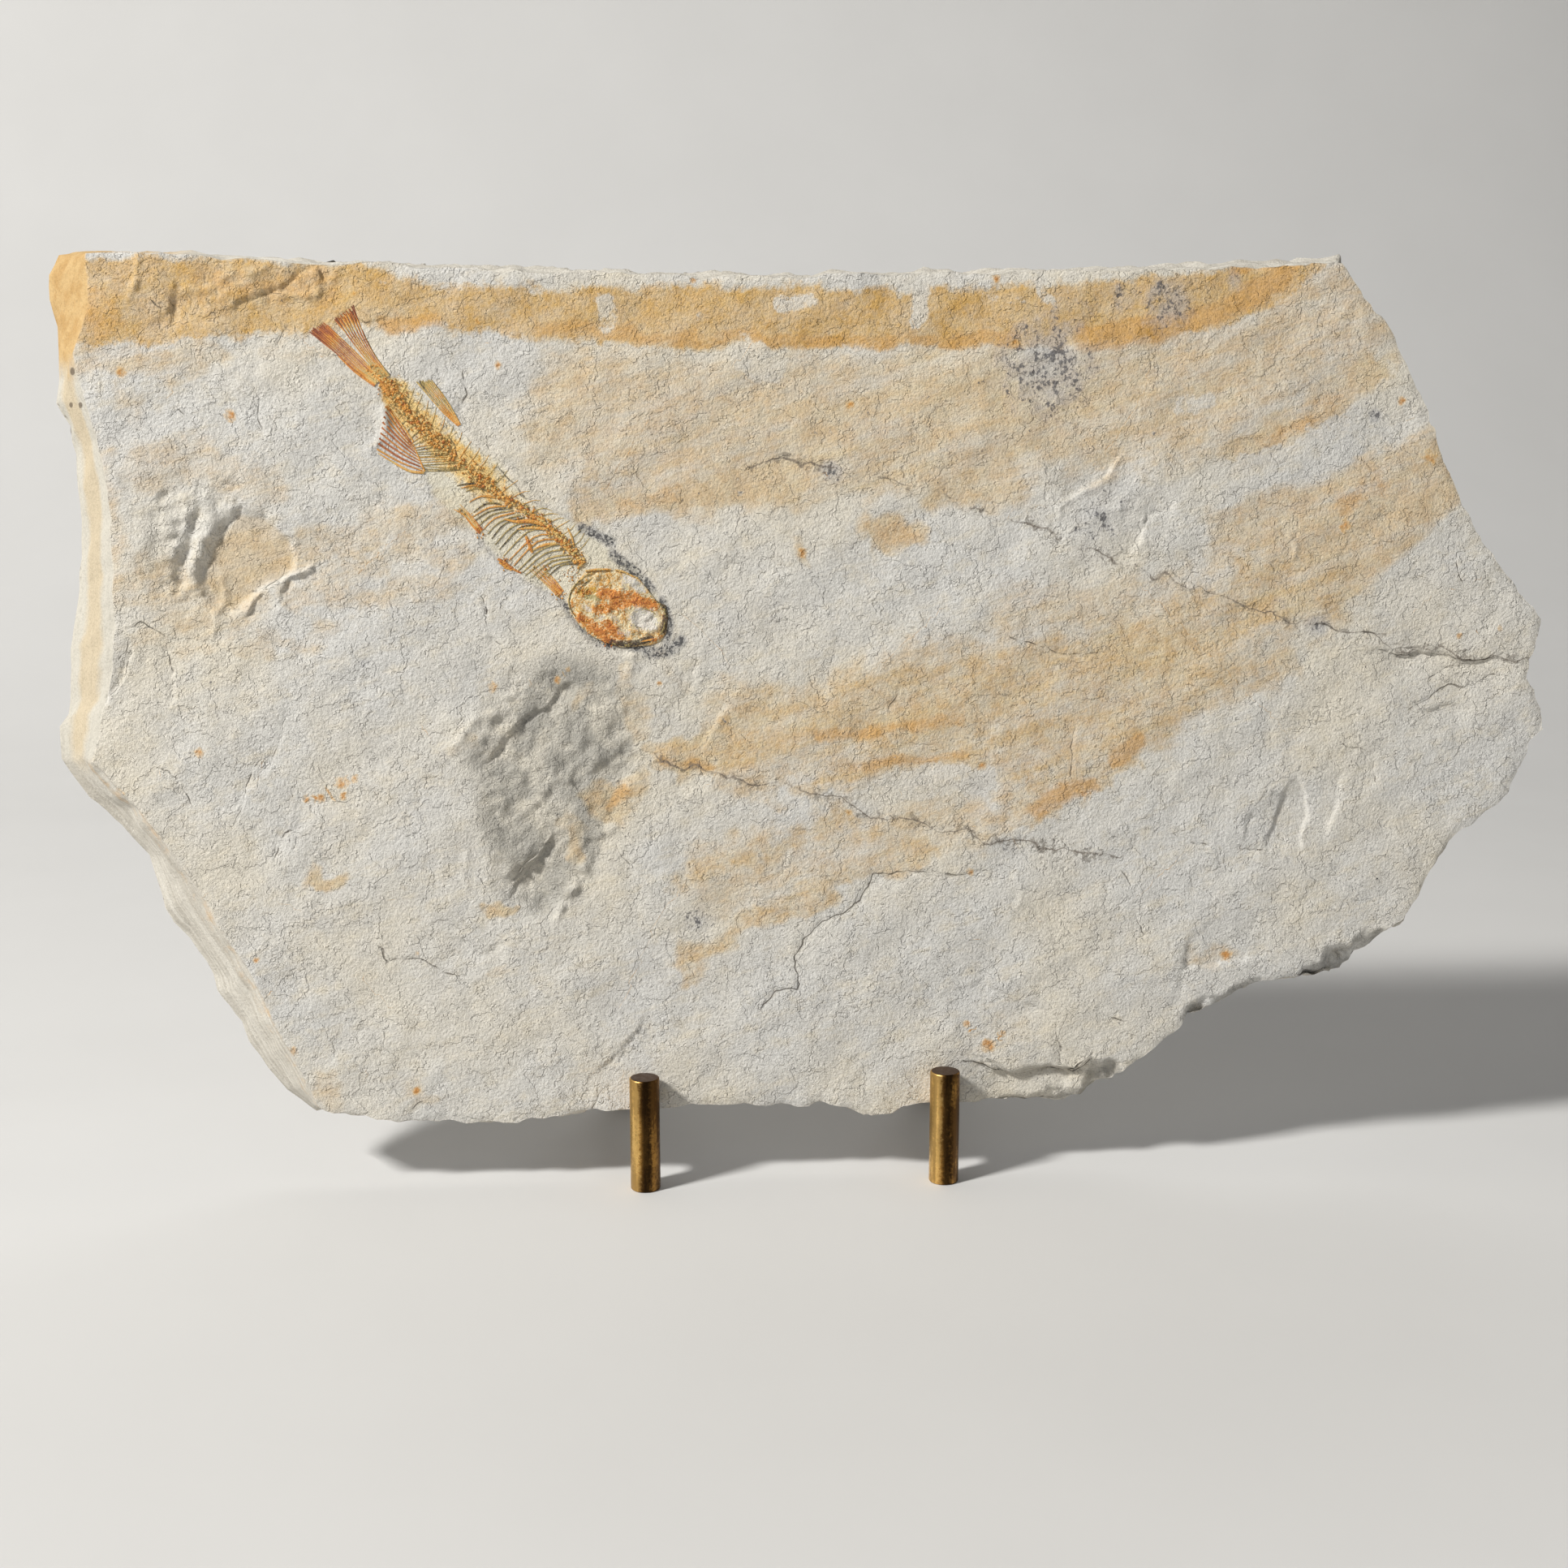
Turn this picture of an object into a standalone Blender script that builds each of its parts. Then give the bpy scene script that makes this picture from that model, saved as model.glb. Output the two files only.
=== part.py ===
"""Fossil fish slab on a brass stand: a broken limestone plate with a small fish skeleton in its face.

Lengths are millimetres until an object is made. A point on the slab is (across, up) on its front face,
and a depth goes into the stone. The face is turned to -Y and leans back.
"""
import math
import random

import bmesh
import bpy
from mathutils import Matrix, Vector
from mathutils.geometry import delaunay_2d_cdt

MM = 0.001
GAP = 0.3  # between pieces that touch

# Slab
THICKNESS = 13.5
LEAN = math.radians(6)
SEAT = -1.5  # height of the two flat seats on the slab's lower edge
SEAT_SPAN = 7.0  # half length of a seat
FACE_HEIGHT = 22.0  # of the slab's zero line above the table
FACE_CELL = 9.6  # spacing of the front lattice
BACK_CELL = 15.0
EDGE_CELL = 5.5
EDGE_ROWS = 3
EDGE_CHIP = 0.7  # how far the broken edge wanders

# Fish
BED_DEPTH = 0.8  # of the shallow bed that holds the bones
BED_CELL = 5.0
BONE_BASE = BED_DEPTH - GAP
BONE_RISE = -0.45  # the bones stand a little in front of the face

# Stand
POST_HALF_SPAN = 40.3
POST_RADIUS = 4.0
POST_HEIGHT = 31.0
PIN_RADIUS = 2.5
LEG_RADIUS = 4.0
LEG_TOP = 96.0
LEG_SLOPE = math.radians(24)
TOE_OUT = math.radians(4.5)
BORE_DEPTH = 2.5
ROD_SIDES = 24
ROD_CHAMFER = 0.4

# The slab's edge, clockwise from the top left. A station of four numbers is a front point and the back
# point behind it, where the edge slants. A station of two numbers is straight through.
TOP_EDGE = [
    (-180, 224, -183, 227), (-171, 224.5, -171, 227), (-156, 224, -156, 227), (-146, 223, -146, 226),
    (-122, 222, -122, 225), (-101, 222, -101, 224.5), (-79, 221, -79, 224), (-58, 220.5, -58, 223),
    (-23, 219.5, -23, 222.5), (7, 220, 7, 222.5), (51, 220.5, 51, 223), (96, 222, 96, 225),
    (118, 222.5, 118, 226), (141, 223, 141, 227), (148, 223.5, 152, 228),
]
RIGHT_EDGE = [
    (152, 217), (154, 214), (158, 210), (163, 204), (165, 199), (168, 194), (170, 189), (173, 182),
    (174.5, 178), (177, 171), (179, 167), (184, 157), (190, 147), (194, 142), (199, 136), (202.5, 131.5),
    (204.5, 128), (205, 124), (203, 120.5), (202, 117), (202, 112.5), (203.5, 109), (205, 102), (206.5, 98),
]
LOWER_RIGHT_EDGE = [
    (203, 94.5), (201.5, 92), (199, 87.5), (196, 81), (192, 77.5), (186, 72), (181, 67.5), (179, 64),
    (175.5, 59.5), (172.5, 54), (169, 46), (164, 43), (158, 39), (154, 35), (152, 32), (148, 31.5),
    (140, 31.5), (132, 30), (125, 28.5), (122, 26), (116, 23.5), (112, 22), (108, 21.5), (106, 18.5),
    (100, 13.5), (95, 9), (89, 4), (87, 2), (84, 1.5),
]
BOTTOM_EDGE = [
    (79, -1), (70, -2.5), (59, -2), (52, -2), (47, SEAT), (34, SEAT), (30, -2), (27, -4), (23, -4.5),
    (19, -4.5), (12, -2.5), (7, -1), (4, -2.5), (0, -2), (-10, -2), (-15, -1), (-25, -0.5), (-33, SEAT),
    (-47, SEAT), (-52, -2), (-61, -3), (-72, -4), (-82, -4.5), (-100, -4), (-117, -2), (-123, -1),
]
LOWER_LEFT_EDGE = [
    (-127, 1, -130, -3), (-129, 6, -138, 3), (-132, 12, -142, 9), (-136, 20, -147, 17),
    (-138, 25, -150, 22), (-141, 32, -155, 31), (-146, 41, -158, 38), (-151, 49, -163, 45),
    (-155, 57, -169, 53), (-159, 63, -170, 60), (-162, 68, -173, 67), (-166, 73, -177, 73),
    (-171, 81, -182, 80), (-175, 85, -187, 84), (-180, 91, -192, 90),
]
LEFT_EDGE = [
    (-183, 94, -194, 94), (-181, 101, -194, 103), (-179, 110, -192, 110), (-177, 118, -192, 118),
    (-176, 129, -191, 128), (-176, 138, -189, 139), (-176, 147, -188, 148), (-176, 157, -187, 157),
    (-177, 165, -188, 165), (-178, 172, -188, 174), (-180, 181, -190, 182), (-182, 189, -192, 188),
    (-183, 194, -192, 194), (-184, 199, -192, 201), (-182, 205, -192, 208), (-180, 211, -193, 215),
    (-180, 218, -193, 221), (-180, 222, -190, 226),
]

# Ledges on the face: (line, drop, run). The stone is lower on the right hand of the line, and comes back
# to the face over the run.
LEDGES = [
    ([(48, 10), (55, 8), (60, 6), (69, 7), (77, 6), (82, 11)], 2.6, 30),
    ([(-179, 107), (-176, 112), (-173, 117), (-172, 123)], -1.2, 8),
    ([(-83, 90), (-78, 96), (-67, 106), (-57, 116)], 1.2, 9),
    ([(-62, 75), (-64, 72), (-71, 64), (-77, 57)], -1.6, 9),
    ([(139, 66), (140, 72), (141, 80), (137, 87)], -1.0, 12),
    ([(158, 119), (165, 120), (174, 119), (182, 118), (196, 117)], 1.1, 12),
    ([(90, 173), (82, 166), (73, 160)], 0.9, 10),
    ([(-160, 214), (-160, 205)], -0.9, 7),
    ([(-124, 145), (-136, 139), (-143, 130)], -1.0, 12),
]
HOLLOW = [(-144, 158), (-137, 157), (-131, 150), (-131, 143), (-139, 138), (-147, 133), (-154, 141), (-151, 150)]
HOLLOW_DEPTH = 2.8
HOLLOW_WALL = 3.0

# Where the broken edge dives behind the face: centre, reach, depth.
EDGE_CHIPS = [((154, 33), 13, 8.0), ((86, 1), 9, 6.0), ((72, -3), 9, 4.0), ((120, 25), 7, 4.0)]

BED = [
    (-127, 206), (-119, 209.5), (-113, 214), (-110, 211), (-107, 201), (-101, 195.5), (-93, 194.5),
    (-86, 184), (-77, 174.5), (-70, 164), (-62, 160), (-50, 156), (-43, 149), (-35, 145), (-31, 134),
    (-30.5, 126), (-34, 120.5), (-45, 120), (-54, 122), (-62, 129), (-68, 136), (-76, 140.5), (-84, 150),
    (-92, 157), (-98, 165), (-108, 171.5), (-110.5, 176), (-107.5, 184), (-112, 190), (-119, 197),
]
BED_RIM = 1.4

BACKBONE = [
    (-104.5, 191), (-102, 187.5), (-98.5, 182.5), (-94, 178), (-89.5, 174), (-82.5, 168), (-78.5, 164.5),
    (-74, 161), (-68, 157.5), (-64.5, 155), (-60.5, 151), (-58, 148.5), (-55, 145),
]
SKULL = [
    (-54, 142.5), (-47.5, 143), (-43.5, 142), (-40.5, 141), (-38, 138), (-35.5, 134.5), (-33, 133.5),
    (-32.5, 130.5), (-33, 126.5), (-34.5, 124), (-37.5, 123), (-45, 122.5), (-49.5, 124), (-52.5, 125.5),
    (-55.5, 128), (-58, 131.5), (-59, 135), (-57.5, 138.5),
]
SKULL_CELL = 2.6
ORBIT = (-40.5, 130)
ORBIT_RADIUS = 3.6


def clear_scene():
    for obj in list(bpy.data.objects):
        bpy.data.objects.remove(obj, do_unlink=True)


def material(name, colour, roughness, metallic=0.0):
    made = bpy.data.materials.new(name)
    made.use_nodes = True
    shader = made.node_tree.nodes["Principled BSDF"]
    shader.inputs["Base Color"].default_value = (*colour, 1)
    shader.inputs["Roughness"].default_value = roughness
    shader.inputs["Metallic"].default_value = metallic
    return made


def holder(name, place, turn=(0, 0, 0)):
    """An empty that carries other objects; its place is in millimetres."""
    empty = bpy.data.objects.new(name, None)
    empty.location = Vector(place) * MM
    empty.rotation_euler = turn
    bpy.context.collection.objects.link(empty)
    return empty


def add_object(name, mesh, look, parent, place=(0, 0, 0), turn=(0, 0, 0)):
    """Turn a bmesh in millimetres into an object in metres."""
    bmesh.ops.recalc_face_normals(mesh, faces=mesh.faces)
    bmesh.ops.transform(mesh, matrix=Matrix.Scale(MM, 4), verts=mesh.verts)
    data = bpy.data.meshes.new(name)
    mesh.to_mesh(data)
    mesh.free()
    data.materials.append(look)
    obj = bpy.data.objects.new(name, data)
    obj.parent = parent
    obj.location = Vector(place) * MM
    obj.rotation_euler = turn
    bpy.context.collection.objects.link(obj)
    return obj


# Plane geometry

def inside(point, outline):
    x, z = point
    hit = False
    for (ax, az), (bx, bz) in zip(outline, outline[1:] + outline[:1]):
        if (az > z) != (bz > z) and x < ax + (bx - ax) * (z - az) / (bz - az):
            hit = not hit
    return hit


def from_line(point, line):
    """Distance to an open line, which is positive on its right hand, and a weight that fades at its ends."""
    best = None
    total = sum(math.dist(a, b) for a, b in zip(line, line[1:]))
    walked = 0.0
    for a, b in zip(line, line[1:]):
        along = Vector(b) - Vector(a)
        to_point = Vector(point) - Vector(a)
        part = max(0.0, min(1.0, to_point.dot(along) / along.length_squared))
        distance = (to_point - along * part).length
        if best is None or distance < abs(best[0]):
            side = -1.0 if along.cross(to_point) > 0 else 1.0
            reach = walked + along.length * part
            best = (side * distance, min(1.0, 4.0 * reach / total, 4.0 * (total - reach) / total))
        walked += along.length
    return best


def from_outline(point, outline):
    ring = outline + outline[:1]
    return abs(from_line(point, ring)[0])


def within(point, outline):
    """True inside an outline and on it."""
    return inside(point, outline) or from_outline(point, outline) < 0.05


def grown(outline, reach):
    """The outline moved outwards; the outlines here run clockwise."""
    moved = []
    for before, here, after in zip(outline[-1:] + outline[:-1], outline, outline[1:] + outline[:1]):
        along = (Vector(after) - Vector(before)).normalized()
        moved.append((here[0] - along.y * reach, here[1] + along.x * reach))
    return moved


def beside(line, reach):
    """A copy of an open line moved to its left hand."""
    ends = [line[0]] + line + [line[-1]]
    moved = []
    for before, here, after in zip(ends, line, ends[2:]):
        along = (Vector(after) - Vector(before)).normalized()
        moved.append((here[0] - along.y * reach, here[1] + along.x * reach))
    return moved


def walk(line, step):
    """Points along a line, about one step apart, with its own points kept."""
    points = [line[0]]
    for a, b in zip(line, line[1:]):
        count = max(1, round(math.dist(a, b) / step))
        points += [tuple(Vector(a).lerp(Vector(b), k / count)) for k in range(1, count + 1)]
    return points


def lattice(outline, cell, clear, rng, keep):
    """Points of a triangular lattice inside an outline, each a little off its place."""
    left = min(p[0] for p in outline)
    low = min(p[1] for p in outline)
    columns = int((max(p[0] for p in outline) - left) / cell) + 1
    rows = int((max(p[1] for p in outline) - low) / (cell * 0.87)) + 1
    points = []
    for row in range(rows):
        for column in range(columns):
            x = left + (column + 0.5 * (row % 2)) * cell + rng.uniform(-0.18, 0.18) * cell
            z = low + row * cell * 0.87 + rng.uniform(-0.18, 0.18) * cell
            if inside((x, z), outline) and keep((x, z)) and from_outline((x, z), outline) > clear:
                points.append((x, z))
    return points


def triangulate(outline, loose=(), lines=()):
    """Triangles that fill an outline, using loose points and keeping lines as edges."""
    points = [Vector(p) for p in outline]
    edges = []
    for line in lines:
        start = len(points)
        points += [Vector(p) for p in line]
        edges += [(k, k + 1) for k in range(start, len(points) - 1)]
    points += [Vector(p) for p in loose]
    ring = list(range(len(outline)))
    made = delaunay_2d_cdt(points, edges, [ring], 1, 1e-5)
    order = {source: index for index, sources in enumerate(made[3]) for source in sources}
    return made[0], made[2], [order[k] for k in ring]


# Slab

def hollow_depth(point):
    across = point[0] - HOLLOW[3][0]
    return HOLLOW_DEPTH * (0.45 + 0.55 * min(1.0, -across / 20))


def waves(point, scale):
    x, z = point
    return (math.sin(x / scale + 1.3) * math.cos(z / scale * 1.3 + 0.4)
            + 0.6 * math.sin((x + z) / scale * 1.9 + 2.1)
            + 0.4 * math.cos((x - 1.4 * z) / scale * 2.7))


def face_depth(point):
    """How far the front face lies behind its plane, in millimetres."""
    if within(point, BED):
        return BED_DEPTH
    if within(point, HOLLOW):
        return hollow_depth(point)
    depth = 0.0
    for line, drop, run in LEDGES:
        distance, weight = from_line(point, line)
        if distance * drop > 0:
            depth += abs(drop) * weight * math.exp(-abs(distance) / run)
    for centre, reach, dive in EDGE_CHIPS:
        depth += dive * max(0.0, 1 - math.dist(point, centre) / reach)
    near_bed = min(1.0, max(0.0, from_outline(point, BED) - BED_RIM) / 12)
    near_post = min(math.dist(point, (side * POST_HALF_SPAN, 4)) for side in (-1, 1))
    wave = 0.38 * waves(point, 13) * near_bed
    if near_post < 14:
        wave = abs(wave)
    return depth + wave


def back_depth(point):
    """How far the back stands out behind its plane; it is plane where the rear legs touch it."""
    legs = min(math.dist(point, (side * (POST_HALF_SPAN + 3), 75)) for side in (-1, 1))
    return 0.7 * waves(point, 19) * min(1.0, max(0.0, legs - 14) / 20)


def edge_rings(rng):
    """Rings of points (across, depth, up) from the front edge to the back edge."""
    stations = TOP_EDGE + RIGHT_EDGE + LOWER_RIGHT_EDGE + BOTTOM_EDGE + LOWER_LEFT_EDGE + LEFT_EDGE
    pairs = [station if len(station) == 4 else station * 2 for station in stations]
    ring = []
    for a, b in zip(pairs, pairs[1:] + pairs[:1]):
        count = max(1, round(math.dist(a[:2], b[:2]) / EDGE_CELL))
        for k in range(count):
            ring.append([a[i] + (b[i] - a[i]) * k / count for i in range(4)])
    rows = []
    for row in range(EDGE_ROWS + 1):
        part = row / EDGE_ROWS
        points = []
        for fx, fz, bx, bz in ring:
            x = fx + (bx - fx) * part
            z = fz + (bz - fz) * part
            on_seat = abs(abs(x) - POST_HALF_SPAN) < SEAT_SPAN and z < 0
            chip = 0.0 if on_seat else EDGE_CHIP * (0.45 if row == 0 else 1.0)
            points.append((x + rng.uniform(-chip, chip), z + rng.uniform(-chip, chip)))
        rows.append(points)
    return rows


def slab_mesh():
    rng = random.Random(11)
    rows = edge_rings(rng)
    front, back = rows[0], rows[-1]
    ledge_lines = [line for points, _, _ in LEDGES
                   for line in (beside(walk(points, 5), 0.5), beside(walk(points, 5), -0.5))]
    rings = [walk(ring + ring[:1], 6) for ring in
             (BED, grown(BED, BED_RIM), HOLLOW, grown(HOLLOW, HOLLOW_WALL))]
    wanted = ledge_lines + rings

    def is_free(point):
        return all(abs(from_line(point, line)[0]) > 3.4 for line in wanted)

    bed_points = lattice(BED, BED_CELL, BED_CELL * 0.7, rng, lambda point: True)
    loose = lattice(front, FACE_CELL, FACE_CELL * 0.55, rng, is_free) + bed_points
    mesh = bmesh.new()
    places, triangles, front_ring = triangulate(front, loose, wanted)
    face_verts = [mesh.verts.new((p.x, face_depth(p.to_tuple()), p.y)) for p in places]
    for triangle in triangles:
        mesh.faces.new([face_verts[k] for k in triangle])
    rings = [[face_verts[k] for k in front_ring]]
    for row in range(1, EDGE_ROWS):
        depth = THICKNESS * row / EDGE_ROWS
        rings.append([mesh.verts.new((x, max(depth, upper.co.y + 1.5), z))
                      for (x, z), upper in zip(rows[row], rings[-1])])
    places, triangles, back_ring = triangulate(back, lattice(back, BACK_CELL, BACK_CELL * 0.5, rng,
                                                             lambda point: True))
    back_verts = [mesh.verts.new((p.x, THICKNESS + back_depth(p.to_tuple()), p.y)) for p in places]
    for triangle in triangles:
        mesh.faces.new([back_verts[k] for k in reversed(triangle)])
    rings.append([back_verts[k] for k in back_ring])
    for upper, lower in zip(rings, rings[1:]):
        for k, vert in enumerate(upper):
            after = (k + 1) % len(upper)
            mesh.faces.new((vert, upper[after], lower[k]))
            mesh.faces.new((upper[after], lower[after], lower[k]))
    return mesh


# Fish

def plate(outline_faces, height, loose=()):
    """A closed plate over the union of some outlines. Its top follows height(point)."""
    points = []
    faces = []
    for outline in outline_faces:
        faces.append(list(range(len(points), len(points) + len(outline))))
        points += [Vector(p) for p in outline]
    points += [Vector(p) for p in loose]
    places, _, triangles = delaunay_2d_cdt(points, [], faces, 1, 1e-4)[:3]
    mesh = bmesh.new()
    verts = [mesh.verts.new((p.x, height(p.to_tuple()), p.y)) for p in places]
    for triangle in triangles:
        mesh.faces.new([verts[k] for k in triangle])
    bmesh.ops.delete(mesh, geom=[v for v in mesh.verts if not v.link_faces], context="VERTS")
    grown_faces = bmesh.ops.extrude_face_region(mesh, geom=mesh.faces[:], use_keep_orig=True)
    for item in grown_faces["geom"]:
        if isinstance(item, bmesh.types.BMVert):
            item.co.y = BONE_BASE
    return mesh


def strip(line, width, tip=0.5):
    """The outline of a tapering strip along a line."""
    count = len(line) - 1
    halves = [width / 2 * (1 - (1 - tip) * k / count) for k in range(count + 1)]
    ends = [line[0]] + line + [line[-1]]
    left, right = [], []
    for half, before, here, after in zip(halves, ends, line, ends[2:]):
        along = (Vector(after) - Vector(before)).normalized()
        left.append((here[0] - along.y * half, here[1] + along.x * half))
        right.append((here[0] + along.y * half, here[1] - along.x * half))
    return left + right[::-1]


def along_line(line, distance):
    """The point at a distance along a line, and the line's direction there."""
    for a, b in zip(line, line[1:]):
        length = math.dist(a, b)
        if distance <= length or b == line[-1]:
            way = (Vector(b) - Vector(a)) / length
            return Vector(a) + way * distance, way
        distance -= length


def backbone_mesh():
    """Vertebrae with the ribs, the spines above them and the spines below the tail half."""
    total = sum(math.dist(a, b) for a, b in zip(BACKBONE, BACKBONE[1:]))
    pieces = []
    count = 32
    edge_up, edge_down = [], []
    for k in range(2 * count + 1):
        place, way = along_line(BACKBONE, total * k / (2 * count))
        up = Vector((-way.y, way.x))
        half = 1.25 if k % 2 else 0.85
        edge_up.append(tuple(place + up * half))
        edge_down.append(tuple(place - up * half))
    pieces.append(edge_up + edge_down[::-1])
    for k in range(2, count - 1):
        place, way = along_line(BACKBONE, total * k / count)
        up = Vector((-way.y, way.x))
        rise = (up - way * 1.1).normalized()
        pieces.append(strip([tuple(place), tuple(place + rise * 3.8)], 0.6))
        sweep = (-up - way * 1.0).normalized()
        if k < 13:
            pieces.append(strip([tuple(place), tuple(place + sweep * 5.5)], 0.6))
        elif k < 30:
            reach = 11.0 * math.sin(math.pi * (k - 8) / 25)
            knee = place + sweep * reach * 0.5
            foot = knee + (sweep - up * 0.6).normalized() * reach * 0.5
            pieces.append(strip([tuple(place), tuple(knee), tuple(foot)], 0.65))

    def height(point):
        distance = abs(from_line(point, BACKBONE)[0])
        return BONE_RISE - 0.5 * max(0.0, 1 - distance / 1.4) + 0.25 * min(1.0, distance / 12)

    return plate(pieces, height)


def skull_mesh():
    """The skull with its gill cover, rough on top, and a sunk eye ring."""
    rng = random.Random(5)
    ring = walk(SKULL + SKULL[:1], 2.4)[:-1]

    def height(point):
        rise = 0.75 * min(1.0, from_outline(point, SKULL) / 3) + 0.18 * waves(point, 1.6)
        from_orbit = math.dist(point, ORBIT)
        if from_orbit < ORBIT_RADIUS:
            rise -= 0.5 * (1 - from_orbit / ORBIT_RADIUS)
        return BONE_RISE - rise

    return plate([ring], height, lattice(ring, SKULL_CELL, 1.1, rng, lambda point: True))


def fin_mesh(first, last, rays, low=-0.15, high=-0.55):
    """A fan of rays between its first and last ray, as a ridged sheet with a flat back."""
    mesh = bmesh.new()
    across = 2 * rays
    fronts, backs = [], []
    for i in range(across + 1):
        part = i / across
        line = [Vector(a).lerp(Vector(b), part) for a, b in zip(first, last)]
        rise = high if i % 2 else low
        fronts.append([mesh.verts.new((p.x, rise, p.y)) for p in line])
        backs.append([mesh.verts.new((p.x, BONE_BASE, p.y)) for p in line])
    for grid in (fronts, backs):
        for here, after in zip(grid, grid[1:]):
            for k in range(len(here) - 1):
                mesh.faces.new((here[k], here[k + 1], after[k + 1], after[k]))
    for row_front, row_back in ((fronts[0], backs[0]), (fronts[-1], backs[-1])):
        for k in range(len(row_front) - 1):
            mesh.faces.new((row_front[k], row_back[k], row_back[k + 1], row_front[k + 1]))
    for k in (0, -1):
        for i in range(across):
            mesh.faces.new((fronts[i][k], backs[i][k], backs[i + 1][k], fronts[i + 1][k]))
    bmesh.ops.triangulate(mesh, faces=mesh.faces[:])
    return mesh


def tail_mesh():
    """Both lobes of the forked tail, joined at its root."""
    upper = strip([(-106.2, 193), (-108.5, 198.5), (-111, 204), (-114, 211)], 3.6, 1.3)
    lower = strip([(-106.8, 192), (-111, 196), (-116, 200.5), (-122.5, 205.5)], 3.8, 1.1)
    middle = [(-105, 192), (-107, 196), (-109, 199.5), (-112, 201.5), (-112, 198), (-108, 192)]

    def height(point):
        lobes = [[(-105.5, 192), (-114, 211)], [(-105.5, 192), (-122.5, 205.5)]]
        nearest = min(abs(from_line(point, lobe)[0]) for lobe in lobes)
        return BONE_RISE + 0.2 * math.cos(3.6 * nearest)

    loose = [p for lobe in (upper, lower) for p in lattice(lobe, 1.5, 0.3, random.Random(3), lambda q: True)]
    return plate([upper, lower, middle], height, loose)


def make_fish(parent):
    bone = material("bone", (0.42, 0.2, 0.05), 0.6)
    fins = material("fin", (0.35, 0.15, 0.06), 0.6)
    add_object("backbone", backbone_mesh(), bone, parent)
    add_object("skull", skull_mesh(), bone, parent)
    add_object("tail_fin", tail_mesh(), fins, parent)
    add_object("dorsal_fin", fin_mesh([(-96.8, 191), (-92.5, 185.5), (-87.8, 180.5)],
                                      [(-93.6, 192), (-90.2, 186.5), (-86.8, 180.8)], 4), fins, parent)
    add_object("anal_fin", fin_mesh([(-105.4, 182.5), (-105.8, 178.5), (-107, 174.8)],
                                    [(-97, 170), (-101.5, 171), (-106.2, 173.6)], 9), fins, parent)
    add_object("pelvic_fin", fin_mesh([(-88.3, 158.6), (-84.6, 155.4), (-81, 152.4)],
                                      [(-87.4, 159.6), (-83.8, 156.6), (-80.4, 153.4)], 2), fins, parent)
    add_object("pectoral_fin", fin_mesh([(-68.4, 143.6), (-64.8, 139.6), (-61.6, 136.4)],
                                        [(-66.8, 145), (-63.2, 141.2), (-60.4, 137.4)], 3), fins, parent)


# Stand

def rod_mesh(radius, length):
    """A round rod up +Z from the origin, with chamfered ends."""
    mesh = bmesh.new()
    bmesh.ops.create_cone(mesh, cap_ends=True, segments=ROD_SIDES, radius1=radius, radius2=radius,
                          depth=length, matrix=Matrix.Translation((0, 0, length / 2)))
    rims = [edge for edge in mesh.edges if abs(edge.verts[0].co.z - edge.verts[1].co.z) < 0.01]
    bmesh.ops.bevel(mesh, geom=rims, offset=ROD_CHAMFER, segments=1, affect="EDGES", profile=0.5, material=-1)
    return mesh


def bore(target, start, parent, look):
    """Cut a blind round hole around the pin's end, whose middle is at start, along the holder's Y."""
    mesh = bmesh.new()
    bmesh.ops.create_cone(mesh, cap_ends=True, segments=ROD_SIDES, radius1=PIN_RADIUS + GAP,
                          radius2=PIN_RADIUS + GAP, depth=2 * (BORE_DEPTH + 2))
    cutter = add_object(target.name + "_cutter", mesh, look, parent, start, (math.pi / 2, 0, 0))
    cutter.hide_render = True
    cutter.display_type = "WIRE"
    cut = target.modifiers.new("bore", "BOOLEAN")
    cut.operation = "DIFFERENCE"
    cut.solver = "EXACT"
    cut.object = cutter


def slab_back(height):
    """How far behind the posts the slab's back is, at a height above the table."""
    up = height - FACE_HEIGHT + THICKNESS * math.sin(LEAN)
    return FACE_Y + THICKNESS * math.cos(LEAN) + up * math.tan(LEAN)


FACE_Y = POST_RADIUS + GAP - SEAT * math.sin(LEAN)  # the slab's face clears the posts
SEAT_HEIGHT = FACE_HEIGHT + SEAT * math.cos(LEAN) - THICKNESS * math.sin(LEAN)
PIN_HEIGHT = SEAT_HEIGHT - GAP - PIN_RADIUS


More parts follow.
